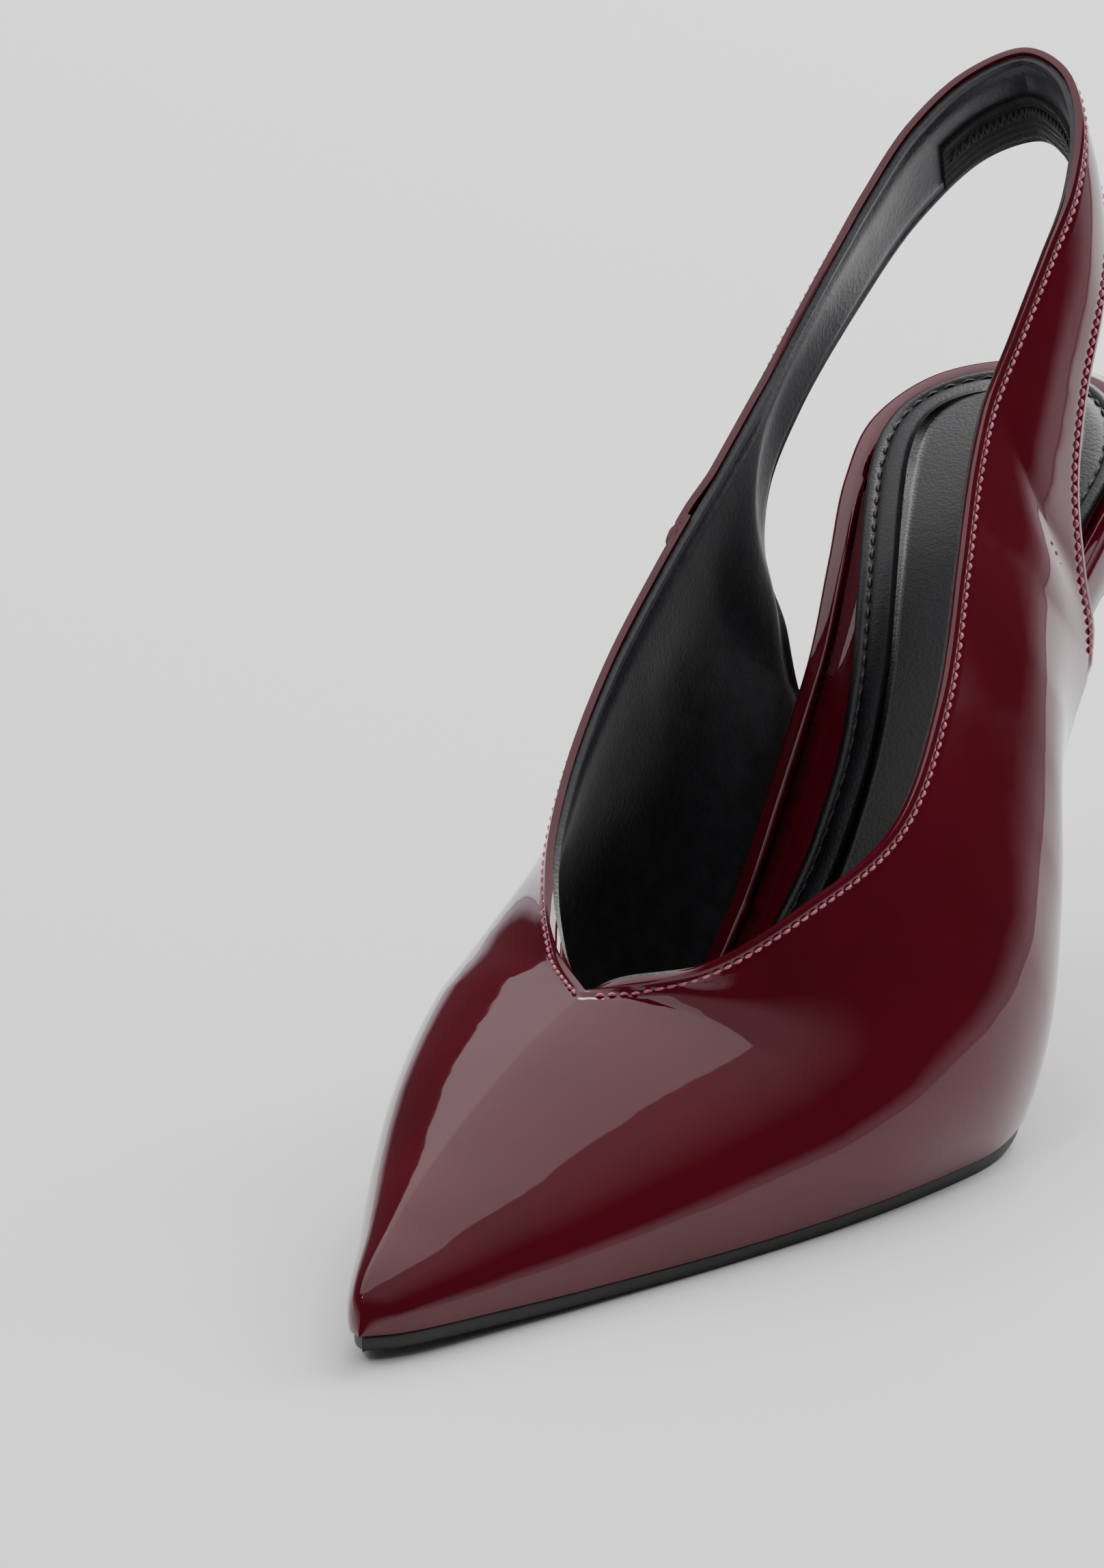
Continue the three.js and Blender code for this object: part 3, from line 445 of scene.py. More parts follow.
class Sheet:  # points, faces and what is known at each point
    def __init__(self):
        self.points, self.faces, self.facts, self.seen = [], [], [], {}

    def add(self, point, facts):
        key = tuple(np.round(np.asarray(point) * 200).astype(int))
        if key not in self.seen:
            self.seen[key] = len(self.points)
            self.points.append(point)
            self.facts.append(facts)
        return self.seen[key]

    def grid(self, points, facts, flip):
        index = [[self.add(p, {k: v[i][j] if np.ndim(v) == 2 else v for k, v in facts.items()})
                  for j, p in enumerate(row)] for i, row in enumerate(points)]
        for i in range(len(index) - 1):
            for j in range(len(index[0]) - 1):
                loop = [index[i][j], index[i + 1][j], index[i + 1][j + 1], index[i][j + 1]]
                loop = [v for k, v in enumerate(loop) if v != loop[k - 1]]
                if len(loop) > 2:
                    self.faces.append(loop[::-1] if flip else loop)

    def fact(self, name):
        return np.array([f.get(name, 0) for f in self.facts], float)

    def normals(self):
        pts = np.array(self.points)
        out = np.zeros_like(pts)
        for f in self.faces:
            n = np.cross(pts[f[2]] - pts[f[0]], pts[f[-1]] - pts[f[1]])
            for v in f:
                out[v] += n
        return out / np.maximum(np.linalg.norm(out, axis=1), 1e-12)[:, None]

    def shell(self, outer, inner):  # closed body between two depths below the sheet
        pts, n, count = np.array(self.points), self.normals(), len(self.points)
        body = np.vstack([pts - n * outer[:, None], pts - n * inner[:, None]])
        faces = [list(f) for f in self.faces] + [[v + count for v in f[::-1]] for f in self.faces]
        edges = {(f[k - 1], f[k]) for f in self.faces for k in range(len(f))}
        faces += [[b, a, a + count, b + count] for a, b in edges if (b, a) not in edges]
        return body, faces


def sideGrid(sheet, side, rows, rowMap=None, lift=None, trim=0):
    if rowMap is None:
        t, length = heightsOf(side, rows)
        high = 1 - trim * smooth(4.9, 5.6, rows) / np.maximum(length, 1)
        low = trim * smooth(11.9, 12.1, rows) / np.maximum(length, 1)
        t = low[:, None] + t * (high - low)[:, None]
        rowOf = np.broadcast_to(rows[:, None], t.shape)
    else:
        t = heightsOf(side, np.array([rowMap(r, 0.5) for r in rows]))[0]
        rowOf = np.array([[rowMap(r, x) for x in line] for r, line in zip(rows, t)])
    facts = {"row": rowOf, "t": t}
    if lift is not None:
        facts["lift"] = lift(rowOf, t)
    sheet.grid(skinAt(side, rowOf, t), facts, flip=side["sign"] < 0)


def flatGrid(sheet, side, rows, t):  # a plain patch of the skin
    rowOf, tOf = np.meshgrid(rows, t, indexing="ij")
    sheet.grid(skinAt(side, rowOf, tOf), {"t": tOf}, flip=side["sign"] < 0)


def newPiece(name, points, faces, finish, bevel=None):  # bevel: width, segments, least angle
    data = bpy.data.meshes.new(name)
    data.from_pydata([tuple(p) for p in np.asarray(points) * mm], [], faces)
    data.validate()
    obj = bpy.data.objects.new(name, data)
    bpy.context.collection.objects.link(obj)
    data.materials.append(finishes[finish])
    if bevel:
        rounded = obj.modifiers.new("edges", "BEVEL")
        rounded.width, rounded.segments = bevel[0] * mm, bevel[1]
        rounded.limit_method = "ANGLE"
        rounded.angle_limit = math.radians(bevel[2])
        rounded.use_clamp_overlap = True
        ready = bpy.data.meshes.new_from_object(obj.evaluated_get(bpy.context.evaluated_depsgraph_get()))
        obj.modifiers.clear()
        obj.data = ready
    for poly in obj.data.polygons:
        poly.use_smooth = True
    return obj


def bendAtStrap(piece):
    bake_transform(piece)


# Patent leather: a folded edge with a stitch groove along the topline, the strap and the rear edges
upperLook = {"thick": 0.9, "fold": 0.16, "foldAt": 0.75, "foldWidth": 0.5, "foldPlump": 0.22, "groove": 0.2,
             "stitchAt": 1.6, "grooveWidth": 0.28, "seamLift": 0.6, "seamShare": 0.8, "underlap": 0.28}
frontRows = [(0, 1, 16), (1, 4.6, 32), (4.6, 5.4, 33)]
splitRow, joinRow = 11, 13  # the inner quarter starts at the first and is even again by the second


def edgeRelief(distance):
    look = upperLook
    fold = look["fold"] * hump(distance, look["foldAt"], look["foldWidth"])
    return fold - look["groove"] * hump(distance, look["stitchAt"], look["grooveWidth"])


def rowsFor(parts):  # from row, to row, count
    return np.unique(np.concatenate([np.linspace(a, b, n) for a, b, n in parts]))


def underRow(u, t):  # the vamp's inner side runs on a little under the quarter
    past = seamRowAt(t) + upperLook["underlap"] - throatRow
    return u if u <= throatRow else throatRow + (u - throatRow) / (splitRow - throatRow) * past


def overRow(u, t):  # the quarter starts at the seam
    if u >= joinRow:
        return u
    return seamRowAt(t) + (u - splitRow) / (joinRow - splitRow) * (joinRow - seamRowAt(t))


def seamOffset(row, t):
    away = (row - seamRowAt(t)) * rowWidth
    return upperLook["seamLift"] * (1 - smooth(3.6, 10, away))


def buildUpper():
    sheet = Sheet()
    sideGrid(sheet, outerSide, rowsFor(frontRows + [(5.4, soleRows, 72), (soleRows, lastRow, 96)]))
    sideGrid(sheet, innerSide, rowsFor(frontRows + [(5.4, splitRow, 60)]), underRow)
    quarterRows = rowsFor([(splitRow, joinRow, 66), (joinRow, lastRow, 84)])
    sideGrid(sheet, innerSide, quarterRows, overRow, seamOffset)
    fromSeam = (sheet.fact("row") - seamRowAt(sheet.fact("t"))) * rowWidth
    lift = sheet.fact("lift")
    fromTop, fromRear = toLine(sheet.points, topCurve), toLine(sheet.points, rearCurve)
    relief = edgeRelief(fromTop) + edgeRelief(fromRear)
    relief += np.where(lift > 0.01, edgeRelief(fromSeam) * upperLook["seamShare"], 0)
    fromEdge = np.minimum(fromTop, fromRear)
    plump = upperLook["foldPlump"] * (1 - smooth(0, upperLook["stitchAt"], fromEdge))  # the fold is double
    points, faces = sheet.shell(-(relief + lift), upperLook["thick"] + plump - lift)
    upper = newPiece("patentUpper", points, faces, "patent", bevel=(0.3, 3, 55))
    bendAtStrap(upper)
    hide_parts("vamp_outer", "medial_quarter_outer", "strap_outer")


buildUpper()
print("patent upper made")

# Black lining: its rolled edge stands just below the patent fold
liningLook = {"edge": 0.5, "near": 1.12, "deep": 1.85, "thick": 0.85, "bead": 0.3, "beadAt": 0.9,
              "beadWidth": 0.55}


def buildLining():
    sheet = Sheet()
    rows = rowsFor([(0.7, 4.6, 26), (4.6, 5.4, 17), (5.4, soleRows, 60), (soleRows, lastRow, 84)])
    for side in (outerSide, innerSide):
        sideGrid(sheet, side, rows, trim=liningLook["edge"])
    fromEdge = np.minimum(toLine(sheet.points, topCurve), toLine(sheet.points, rearCurve))
    look = liningLook
    outer = look["near"] + (look["deep"] - look["near"]) * smooth(1.8, 3.4, fromEdge)
    inner = outer + look["thick"] + look["bead"] * hump(fromEdge, look["beadAt"], look["beadWidth"])
    points, faces = sheet.shell(outer, inner)
    lining = newPiece("leatherLining", points, faces, "liningLeather",
                      bevel=(0.26, 3, 55))
    bendAtStrap(lining)
    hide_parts("vamp_lining", "medial_quarter_lining", "strap_lining")


buildLining()
print("lining made")

# Thin stiffening between patent and lining, clear of the folded edges
stiffenerLook = {"outer": 0.95, "inner": 1.3, "low": 0.17, "high": 0.83, "from": {1: 8, -1: soleRows}}


def buildStiffener():
    sheet = Sheet()
    look = stiffenerLook
    t = np.linspace(look["low"], look["high"], 20)
    for side in (outerSide, innerSide):
        flatGrid(sheet, side, np.linspace(look["from"][side["sign"]], lastRow, 90), t)
    count = len(sheet.points)
    points, faces = sheet.shell(np.full(count, look["outer"]), np.full(count, look["inner"]))
    stiffener = newPiece("quarterStiffener", points, faces, "stiffener", bevel=(0.1, 2, 55))
    bendAtStrap(stiffener)
    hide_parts("lateral_quarter_interlining", "medial_quarter_interlining", "strap_interlining")


buildStiffener()
print("stiffener made")

# Stitches: short raised threads that dip into their holes
stitchLook = {"pitch": 1.75, "length": 1.3, "radius": 0.27, "rise": 0.22}
stitchShape = [(-0.5, 0.35, -0.25), (-0.34, 0.8, 0.35), (0, 1, 1), (0.34, 0.8, 0.35), (0.5, 0.35, -0.25)]
stitchSides = 6
slopeReach = 0.02  # how far to either side the slope of the skin is felt, in rows


def stitchRow(path, normals, look, points, faces):
    run = np.concatenate([[0], np.cumsum(np.linalg.norm(np.diff(path, axis=0), axis=1))])
    count = int(run[-1] // look["pitch"])

    def at(s, source):
        return np.array([np.interp(s, run, source[:, k]) for k in range(3)])

    for n in range(count):
        middle = (n + 0.5) * run[-1] / count
        base = len(points)
        for share, size, rise in stitchShape:  # place along the stitch, thickness, height
            s = middle + share * look["length"]
            here = at(s, path)
            ahead = at(min(s + 0.2, run[-1]), path) - at(max(s - 0.2, 0), path)
            ahead /= max(np.linalg.norm(ahead), 1e-9)
            out = at(s, normals)
            out = out - ahead * (out @ ahead)
            out /= np.linalg.norm(out)
            across = np.cross(ahead, out)
            centre = here + out * rise * look["rise"]
            for a in range(stitchSides):
                angle = 2 * math.pi * a / stitchSides
                spoke = math.cos(angle) * across + math.sin(angle) * out
                points.append(centre + look["radius"] * size * spoke)
        last = base + (len(stitchShape) - 1) * stitchSides
        for low in range(base, last, stitchSides):
            for a in range(stitchSides):
                b = (a + 1) % stitchSides
                faces.append([low + a, low + b, low + stitchSides + b, low + stitchSides + a])
        faces.append([base + a for a in range(stitchSides - 1, -1, -1)])
        faces.append([last + a for a in range(stitchSides)])


def firstAt(inset, distance, t):  # the first place along t that lies this far from the edge
    k = max(int(np.argmax(distance >= inset)), 1)
    share = (inset - distance[k - 1]) / (distance[k] - distance[k - 1])
    return t[k - 1] + (t[k] - t[k - 1]) * min(max(share, 0), 1)


def skinNormals(side, rows, t):
    e = slopeReach
    u = skinAt(side, np.minimum(rows + e, lastRow), t) - skinAt(side, rows - e, t)
    v = skinAt(side, rows, np.minimum(t + e, 1)) - skinAt(side, rows, np.maximum(t - e, 0))
    normal = np.cross(u, v) * side["sign"]
    return normal / np.linalg.norm(normal, axis=1)[:, None]


def edgePath(side, rows, inset, fromTop):
    t = np.linspace(0, 0.4, 120)
    t = 1 - t if fromTop else t
    edge = topCurve if fromTop else rearCurve
    at = np.array([firstAt(inset, toLine(skinAt(side, np.full(len(t), r), t), edge), t) for r in rows])
    path = skinAt(side, rows, at)
    normal = skinNormals(side, rows, at)
    onQuarter = (rows > seamRow) & (side["sign"] < 0)  # the inner quarter lies on top of the vamp
    lift = np.where(onQuarter, seamOffset(rows, np.full(len(rows), float(fromTop))), 0)
    return path + normal * lift[:, None], normal


def seamPath(inset):
    t = np.linspace(0.03, 0.985, 60)
    rows = seamRowAt(t) + inset / rowWidth
    normal = skinNormals(innerSide, rows, t)
    return skinAt(innerSide, rows, t) + normal * upperLook["seamLift"], normal


def buildStitches():
    points, faces = [], []
    inset = upperLook["stitchAt"]
    # the topline seam turns just below the throat
    for fromTop, rows in ((True, [(4.925, 12, 60), (12, 19.98, 120)]), (False, [(12.15, 19.98, 150)])):
        parts = [edgePath(side, rowsFor(rows), inset, fromTop) for side in (outerSide, innerSide)]
        path = np.vstack([parts[0][0], parts[1][0][::-1]])
        normals = np.vstack([parts[0][1], parts[1][1][::-1]])
        stitchRow(path, normals, stitchLook, points, faces)
    path, normals = seamPath(inset)
    stitchRow(path, normals, stitchLook, points, faces)
    stitches = newPiece("edgeStitches", points, faces, "roseThread")
    bendAtStrap(stitches)
    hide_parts("topline_thread", "strap_topline_thread", "strap_lower_thread",
                "lateral_rear_thread", "medial_rear_thread")


buildStitches()
print("stitches made")


# Elastic stay inside the back of the strap, with a zigzag seam
stayLook = {"from": 18.35, "low": 0.1, "high": 0.6, "outer": 2.68, "inner": 3.35, "ribs": 7,
            "ribHeight": 0.1, "selvedge": 0.25}
zigzagLook = {"count": 26, "from": 18.47, "middle": 0.4, "swing": 0.075, "gap": 0.15, "radius": 0.2,
              "rise": 0.16}


def buildStay():
    look = stayLook
    sheet = Sheet()
    rows, t = np.linspace(look["from"], lastRow, 44), np.linspace(look["low"], look["high"], 22)
    for side in (outerSide, innerSide):
        flatGrid(sheet, side, rows, t)
    share = (sheet.fact("t") - look["low"]) / (look["high"] - look["low"])
    ribs = look["ribHeight"] * np.sin(share * 2 * math.pi * look["ribs"])
    ribs *= smooth(0, 0.06, share) * smooth(0, 0.06, 1 - share)
    inner = look["inner"] + ribs + look["selvedge"] * hump(share, 0.96, 0.04)
    points, faces = sheet.shell(np.full(len(sheet.points), look["outer"]), inner)
    stay = newPiece("elasticStay", points, faces, "elastic", bevel=(0.15, 2, 55))
    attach(stay, "strap")
    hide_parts("strap_stay")


def buildZigzag():
    look = zigzagLook
    path, normals = [], []
    for side, turn in ((outerSide, 1), (innerSide, -1)):
        rows = np.linspace(look["from"], lastRow, look["count"])[::turn]
        t = look["middle"] + look["swing"] * np.where(np.arange(look["count"])[::turn] % 2, 1, -1)
        normal = skinNormals(side, rows, t)
        path.append(skinAt(side, rows, t) - normal * (stayLook["inner"] + look["gap"]))
        normals.append(-normal)
    path = np.vstack([path[0], path[1][1:]])
    normals = np.vstack([normals[0], normals[1][1:]])
    points, faces = [], []
    for k in range(len(path) - 1):
        span = np.linalg.norm(path[k + 1] - path[k])
        leg = {"pitch": span * 0.999, "length": span * 0.92, "radius": look["radius"], "rise": look["rise"]}
        stitchRow(path[k:k + 2], normals[k:k + 2], leg, points, faces)
    zigzag = newPiece("stayStitches", points, faces, "blackThread")
    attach(zigzag, "strap")


buildStay()
buildZigzag()
print("elastic stay made")


# Bed layers: an outline of matching outer and inner side points, skinned in rings of inset and height
narrowShare = 0.42  # the most of the width that an inset takes in front of tipClamp


def leftOf(ahead):  # level unit vectors square to a direction
    left = np.stack([-ahead[:, 1], ahead[:, 0]], axis=1)
    return left / np.maximum(np.linalg.norm(left, axis=1), 1e-9)[:, None]


def inwardOf(loop):
    return leftOf(np.roll(loop, -1, axis=0) - np.roll(loop, 1, axis=0))


def bedLayer(outer, inner, rings, tipClamp=None):
    # outer and inner run from the toe end to the back and share their last point
    loop = np.vstack([outer, inner[-2::-1]])
    n = len(outer)
    closed = np.hypot(*(outer[0] - inner[0])[:2]) < 1e-6
    if closed:
        loop = loop[:-1]
    inward = inwardOf(loop)
    partner = [2 * (n - 1) - k for k in range(len(loop))]
    partner = [p % len(loop) if closed else min(p, len(loop) - 1) for p in partner]
    width = np.linalg.norm(loop[:, :2] - loop[partner][:, :2], axis=1)
    points, faces, count = [], [], len(loop)
    for inset, height in rings:
        move = np.full(count, float(inset))
        if tipClamp is not None:
            move = np.where(loop[:, 1] < tipClamp, np.minimum(move, width * narrowShare), move)
        xy = loop[:, :2] + inward * move[:, None]
        level = height(xy[:, 1]) if callable(height) else height
        points.extend(onBed(xy[:, 0], xy[:, 1], level))
    for r in range(len(rings) - 1):
        for k in range(count):
            b = (k + 1) % count
            faces.append([r * count + k, r * count + b, (r + 1) * count + b, (r + 1) * count + k])
    for r, flip in ((0, True), (len(rings) - 1, False)):
        fillPairs(points, faces, r * count, n, count, closed, flip)
    return np.array(points), faces


def fillPairs(points, faces, base, n, count, closed, flip, across=10):
    lines = []
    for k in range(n):
        a = base + k
        b = base + ((2 * (n - 1) - k) % count if closed else min(2 * (n - 1) - k, count - 1))
        if a == b:
            lines.append([a] * (across + 1))
            continue
        line = [a]
        for j in range(1, across):
            points.append(points[a] + (points[b] - points[a]) * j / across)
            line.append(len(points) - 1)
        lines.append(line + [b])
    for p, q in zip(lines[:-1], lines[1:]):
        for j in range(across):
            loop = [p[j], p[j + 1], q[j + 1], q[j]]
            loop = [v for i, v in enumerate(loop) if v != loop[i - 1]]
            if len(loop) > 2:
                faces.append(loop[::-1] if flip else loop)


seatOuter = [(-12, -114.5), (-6.5, -107), (1.3, -91), (11.5, -69.5), (20.5, -49), (28, -29), (32.3, -11),
             (32.8, 4), (29.4, 20), (25.3, 35), (22.9, 50), (22.2, 66), (22.6, 82), (22, 97), (17.5, 109),
             (8, 117), (-3, 120)]
seatInner = [(-12, -114.5), (-16.5, -107), (-21, -93), (-27.5, -72), (-32.5, -50), (-34.5, -32),
             (-33.5, -15), (-29, 0), (-23.5, 15), (-19.3, 30), (-17.4, 45), (-17.5, 58), (-20.8, 73),
             (-25, 89), (-26.2, 103), (-21, 114), (-12.5, 119), (-3, 120)]
sockOuter = [(-12, -96), (-5, -84), (6, -62), (15, -42), (22, -22), (25, -4), (23.5, 12), (20.5, 26),
             (18, 38), (17, 50), (16.6, 62), (17.4, 75), (18.4, 86), (18, 96), (14.5, 106), (9, 112),
             (3, 115), (-3, 115.7)]
sockInner = [(-12, -96), (-17, -84), (-24, -62), (-27.5, -42), (-26.5, -22), (-21, 0), (-14.5, 16),
             (-10.8, 28), (-7.6, 38), (-6.9, 46), (-8.3, 54), (-11.3, 63), (-14.6, 72), (-18.2, 82),
             (-21, 91), (-22.2, 99), (-21, 105.5), (-17.5, 110.5), (-11.5, 114.2), (-3, 115.7)]


def cutAt(line, y, count):  # the part of a side line behind y
    line = line[line[:, 1] > y]
    pick = np.linspace(0, len(line) - 1, count)
    return np.stack([np.interp(pick, np.arange(len(line)), line[:, k]) for k in range(3)], axis=1)


rimLook = {"from": -88, "points": 150, "turnIn": 0.12, "rise": 5.6, "shoulder": 5.85, "undercut": 0.06}


def buildRim():  # patent cover over the insole, turned down over the rim of waist and seat
    look = rimLook
    outer = cutAt(evenly(seatOuter, 400), look["from"], look["points"])
    inner = cutAt(evenly(seatInner, 400), look["from"], look["points"])

    def foot(y):
        return look["turnIn"] + look["rise"] * (1 - smooth(2, 16, y))

    def under(y):
        return foot(y) - look["undercut"]

    def above(y):
        return foot(y) + look["turnIn"]

    def mid(y):
        return foot(y) + (look["shoulder"] - foot(y)) * 0.5

    def inside(y):
        return np.maximum(foot(y), 0.5) + 0.1

    rings = [(1.1, 5.8), (1.05, inside), (1.0, foot), (0.85, under), (0.12, under), (0, above),
             (-0.06, mid), (0, 5.75), (0.06, 6.15), (0.28, 6.55), (0.7, 6.82), (1.3, 6.93), (2.2, 6.95),
             (4, 6.92)]
    points, faces = bedLayer(outer, inner, rings, tipClamp=-70)
    rim = newPiece("rimCover", points, faces, "patent")
    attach(rim, "root")
    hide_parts("rim_wrap", "insole_cover")


sockSeam = {"inset": 2.05, "height": 8.12, "from": -60, "pitch": 3.1, "length": 2.3, "radius": 0.24,
            "rise": 0.26}


def buildSock():
    outer, inner = evenly(sockOuter, 220), evenly(sockInner, 220)
    rings = [(0.15, 7.02), (0, 7.2), (0, 7.75), (0.12, 8.1), (0.4, 8.38), (0.9, 8.52), (1.4, 8.5),
             (1.75, 8.3), (1.95, 8.12), (2.15, 8.1), (2.35, 8.2), (2.7, 8.42), (3.3, 8.62), (4.2, 8.78),
             (5.2, 8.86), (6.4, 8.9)]
    points, faces = bedLayer(outer, inner, rings, tipClamp=-60)
    sock = newPiece("paddedSock", points, faces, "sockLeather")
    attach(sock, "root")
    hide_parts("sock")
    seam = sockSeam
    line = np.vstack([outer, inner[-2::-1]])
    line = line[line[:, 1] > seam["from"]]
    x, y = (line[:, :2] + leftOf(np.gradient(line[:, :2], axis=0)) * seam["inset"]).T
    path = onBed(x, y, seam["height"])
    points, faces = [], []
    stitchRow(path, onBed(x, y, seam["height"] + 1) - path, seam, points, faces)
    thread = newPiece("sockStitches", points, faces, "blackThread")
    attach(thread, "root")
    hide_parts("sock_thread")


buildRim()
buildSock()
print("rim and sock made")


def spanAt(loop, y):  # least and greatest x of a closed outline at each y
    a, b = loop, np.roll(loop, -1, axis=0)
    spans = []
    for level in y:
        hit = ((a[:, 1] - level) * (b[:, 1] - level) <= 0) & (a[:, 1] != b[:, 1])
        x = a[hit, 0] + (b[hit, 0] - a[hit, 0]) * (level - a[hit, 1]) / (b[hit, 1] - a[hit, 1])
        spans.append((x.min(), x.max()))
    return np.array(spans)


def shrunk(loop, distance):
    return loop[:, :2] + inwardOf(loop) * distance


outsoleLook = {"from": -118.6, "to": 80.8, "upperInset": 0.75, "waistInset": 1.3, "foreSpan": (-118.5, 55),
               "waistFrom": -105, "toeShare": 0.06}


def buildOutsole():
    look = outsoleLook
    upperLoop = np.vstack([evenly(outerSide["sole"], 160), evenly(innerSide["sole"], 160)[::-1]])
    seatLoop = np.vstack([evenly(seatOuter, 200), evenly(seatInner, 200)[-2::-1]])
    toe = look["toeShare"]
    share = np.concatenate([np.linspace(0, 1, 26)[:-1] ** 2 * toe, np.linspace(toe, 1, 130)])
    y = look["from"] + (look["to"] - look["from"]) * share
    fore = spanAt(shrunk(upperLoop, look["upperInset"]), np.clip(y, *look["foreSpan"]))
    waist = spanAt(shrunk(seatLoop, look["waistInset"]), np.maximum(y, look["waistFrom"]))
    mix = smooth(0, 40, y)[:, None]
    span = fore * (1 - mix) + waist * mix
    outer, inner = np.stack([span[:, 1], y], axis=1), np.stack([span[:, 0], y], axis=1)
    back = (outer[-1] + inner[-1]) / 2
    outer, inner = np.vstack([outer, back]), np.vstack([inner, back])
    rings = [(0.9, -2.5), (0.45, -2.47), (0.16, -2.3), (0.02, -2.0), (0, -1.4), (0, -0.7), (0.06, -0.35),
             (0.3, -0.2), (0.8, -0.12), (1.6, -0.1)]
    points, faces = bedLayer(outer, inner, rings, tipClamp=-100)
    sole = newPiece("outsoleUnit", points, faces, "soleResin")
    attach(sole, "root")
    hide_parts("outsole")


buildOutsole()
print("outsole made")

# Heel: front and back points (y, z), half width and share of the seat's outline, from the seat down
heelX = -2
heelRows = [
    ((81.5, 66), (120, 85), 24, 1),
    ((81.9, 64.4), (118.3, 82.6), 23, 0.9),
    ((82.4, 61.5), (113.8, 76.2), 19.8, 0.65),
    ((83.1, 57), (108, 68.5), 15.5, 0.35),
    ((83.7, 50), (101.7, 57.5), 10.5, 0.1),
    ((83.9, 42), (96.6, 46.5), 7.3, 0),
    ((83.9, 32), (93.3, 34.5), 5.5, 0),
    ((83.8, 20), (91.4, 21), 4.3, 0),
    ((83.5, 6.6), (90.1, 6.6), 3.7, 0),
]
heelLook = {"sides": 72, "levels": 88, "wall": 0.85, "lip": 0.22, "lipGroove": 0.12, "topGap": 0.12,
            "topLevels": 21, "topShare": 0.16}
seatLook = {"breast": 81.5, "breastHalf": 22.5, "back": 120, "half": 24, "centre": 100}


def seatReach(angles):
    line = np.vstack([evenly(seatOuter, 300), evenly(seatInner, 300)[-2::-1]])[:, :2]
    line = line[line[:, 1] >= seatLook["breast"]]
    across = heelX + seatLook["breastHalf"] * np.linspace(-1, 1, 13)
    breast = np.stack([across, np.full(13, seatLook["breast"])], axis=1)
    loop = np.vstack([line, breast]) - [heelX, seatLook["centre"]]
    nxt = np.roll(loop, -1, axis=0)
    out = []
    for angle in angles:
        d = np.array([math.sin(angle), math.cos(angle)])
        edge = nxt - loop
        cross = d[0] * edge[:, 1] - d[1] * edge[:, 0]
        safe = np.where(np.abs(cross) < 1e-9, 1, cross)
        r = (loop[:, 0] * edge[:, 1] - loop[:, 1] * edge[:, 0]) / safe
        s = (loop[:, 0] * d[1] - loop[:, 1] * d[0]) / safe
        good = (np.abs(cross) > 1e-9) & (r > 0) & (s >= -1e-6) & (s <= 1 + 1e-6)
        out.append(d * r[good].max())
    return np.array(out) + [0, seatLook["centre"]]


def heelRings(inset):
    look, top = heelLook, seatLook
    angles = np.arange(look["sides"]) / look["sides"] * 2 * math.pi
    reach = seatReach(angles)
    table = np.array([[*front, *back, half, seat] for front, back, half, seat in heelRows])
    near = np.linspace(0, 1, look["topLevels"] + 1)[:-1] ** 1.4 * look["topShare"]
    levels = np.concatenate([near, np.linspace(look["topShare"], 1, look["levels"] - look["topLevels"])])
    rows = np.stack([splineAt(np.stack([column] * 3, axis=1), levels)[:, 0] for column in table.T], axis=1)
    rings = []
    for level, (fy, fz, by, bz, half, seat) in zip(levels, rows):
        seat = min(max(seat, 0), 1)
        power = np.where(np.cos(angles) < 0, 2 / 3, 0.95)
        oval = [np.sign(c) * np.abs(c) ** power for c in (np.sin(angles), np.cos(angles))]
        middle, halfLength = (fy + by) / 2, (by - fy) / 2 - inset
        x = (half - inset) * oval[0] * (1 - seat)
        x = x + reach[:, 0] * half * (top["half"] - inset) / top["half"] ** 2 * seat
        along = (reach[:, 1] - top["breast"]) / (top["back"] - top["breast"])
        y = (middle + halfLength * oval[1]) * (1 - seat) + (fy + inset + along * 2 * halfLength) * seat
        share = (y - fy) / (by - fy)
        z = fz + (bz - fz) * share
        z = z + (soleHeight(y) - look["topGap"] - z) * smooth(0.6, 1, 1 - level / 0.02)
        out = np.stack([x, y], axis=1) - [0, middle]
        out /= np.linalg.norm(out, axis=1)[:, None]
        below = level * 100
        lip = look["lip"] * (1 - smooth(1.1, 1.5, below)) - look["lipGroove"] * hump(below, 1.7, 0.35)
        lip = lip if inset == 0 else 0
        x, y = x + out[:, 0] * lip, y + out[:, 1] * lip
        rings.append(np.stack([heelX + x, y, z], axis=1))
    return np.array(rings)


def buildHeel():
    outside, hollow = heelRings(0), heelRings(heelLook["wall"])
    rings = np.vstack([outside, hollow[::-1]])
    count, sides = len(rings), heelLook["sides"]
    faces = [[r * sides + k, r * sides + (k + 1) % sides, ((r + 1) % count) * sides + (k + 1) % sides,
              ((r + 1) % count) * sides + k] for r in range(count) for k in range(sides)]
    heel = newPiece("heelWrap", rings.reshape(-1, 3), faces, "heelPatent")
    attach(heel, "root")
    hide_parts("heel_cover")


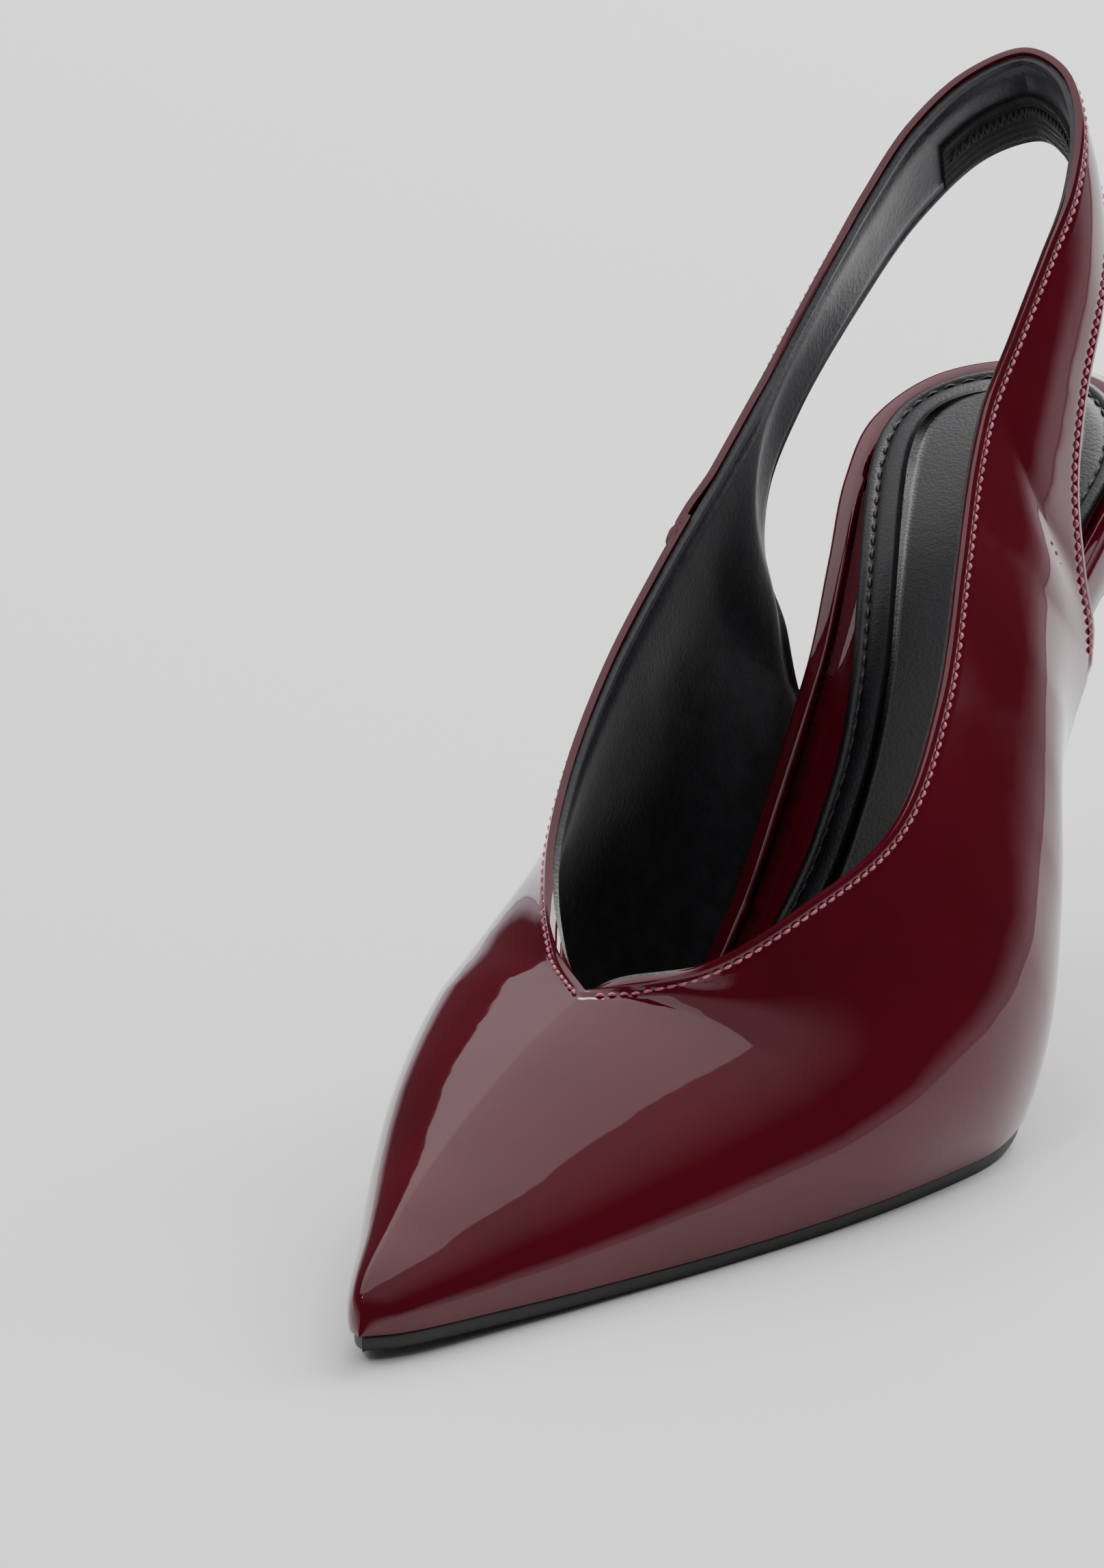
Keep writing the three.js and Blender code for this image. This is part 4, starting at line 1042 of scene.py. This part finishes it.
tipLook = {"low": 82.9, "high": 90.7, "half": 4.1, "corner": 2.2, "sides": 48,
           "bulge": 0.1, "bulgeAt": 3.2, "bulgeSpread": 2}
tipProfile = [(0.75, 0), (0.4, 0.08), (0.12, 0.35), (0, 0.9), (0, 2.2), (0.02, 5.2), (0.06, 5.7),
              (0.24, 6.05), (0.55, 6.25), (0.9, 6.3)]


def buildTip():
    look, ring = tipLook, tipLook["sides"]
    w, l = look["half"], (look["high"] - look["low"]) / 2
    middle = look["low"] + l
    points, faces = [], []
    for inset, z in tipProfile:
        r = look["corner"] - inset * 0.5
        bulge = look["bulge"] * hump(z, look["bulgeAt"], look["bulgeSpread"])
        for k in range(ring):
            a = (k + 0.5) / ring * 2 * math.pi
            c, s = math.cos(a), math.sin(a)
            cx, cy = math.copysign(w - inset - r, c), math.copysign(l - inset - r, s)
            points.append((heelX + cx + (r + bulge) * c, middle + cy + (r + bulge) * s, z))
    for p in range(len(tipProfile) - 1):
        for k in range(ring):
            b = (k + 1) % ring
            faces.append([p * ring + k, p * ring + b, (p + 1) * ring + b, (p + 1) * ring + k])
    faces.append(list(range(ring - 1, -1, -1)))
    faces.append([(len(tipProfile) - 1) * ring + k for k in range(ring)])
    tip = newPiece("heelTip", points, faces, "tipRubber")
    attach(tip, "root")
    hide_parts("top_piece")


buildHeel()
buildTip()
print("heel made")


def buildFloor():
    count, radii = 128, (0.3, 1, 2, studio["floorRadius"])
    points = [(0, 0, 0)]
    for radius in radii:
        for k in range(count):
            angle = 2 * math.pi * k / count
            points.append((radius * math.cos(angle), radius * math.sin(angle), 0))
    faces = [[0, 1 + k, 1 + (k + 1) % count] for k in range(count)]
    for base in range(1, 1 + count * (len(radii) - 1), count):
        for k in range(count):
            b = (k + 1) % count
            faces.append([base + k, base + count + k, base + count + b, base + b])
    data = bpy.data.meshes.new("floor")
    data.from_pydata(points, [], faces)
    floor = bpy.data.objects.new("floor", data)
    bpy.context.collection.objects.link(floor)
    mat = bpy.data.materials.new("floorPaper")
    mat.use_nodes = True
    shader = mat.node_tree.nodes["Principled BSDF"]
    shader.inputs["Base Color"].default_value = (*studio["floorColor"], 1)
    shader.inputs["Roughness"].default_value = studio["floorRoughness"]
    shader.inputs["Specular IOR Level"].default_value = studio["floorGloss"]
    data.materials.append(mat)


buildFloor()
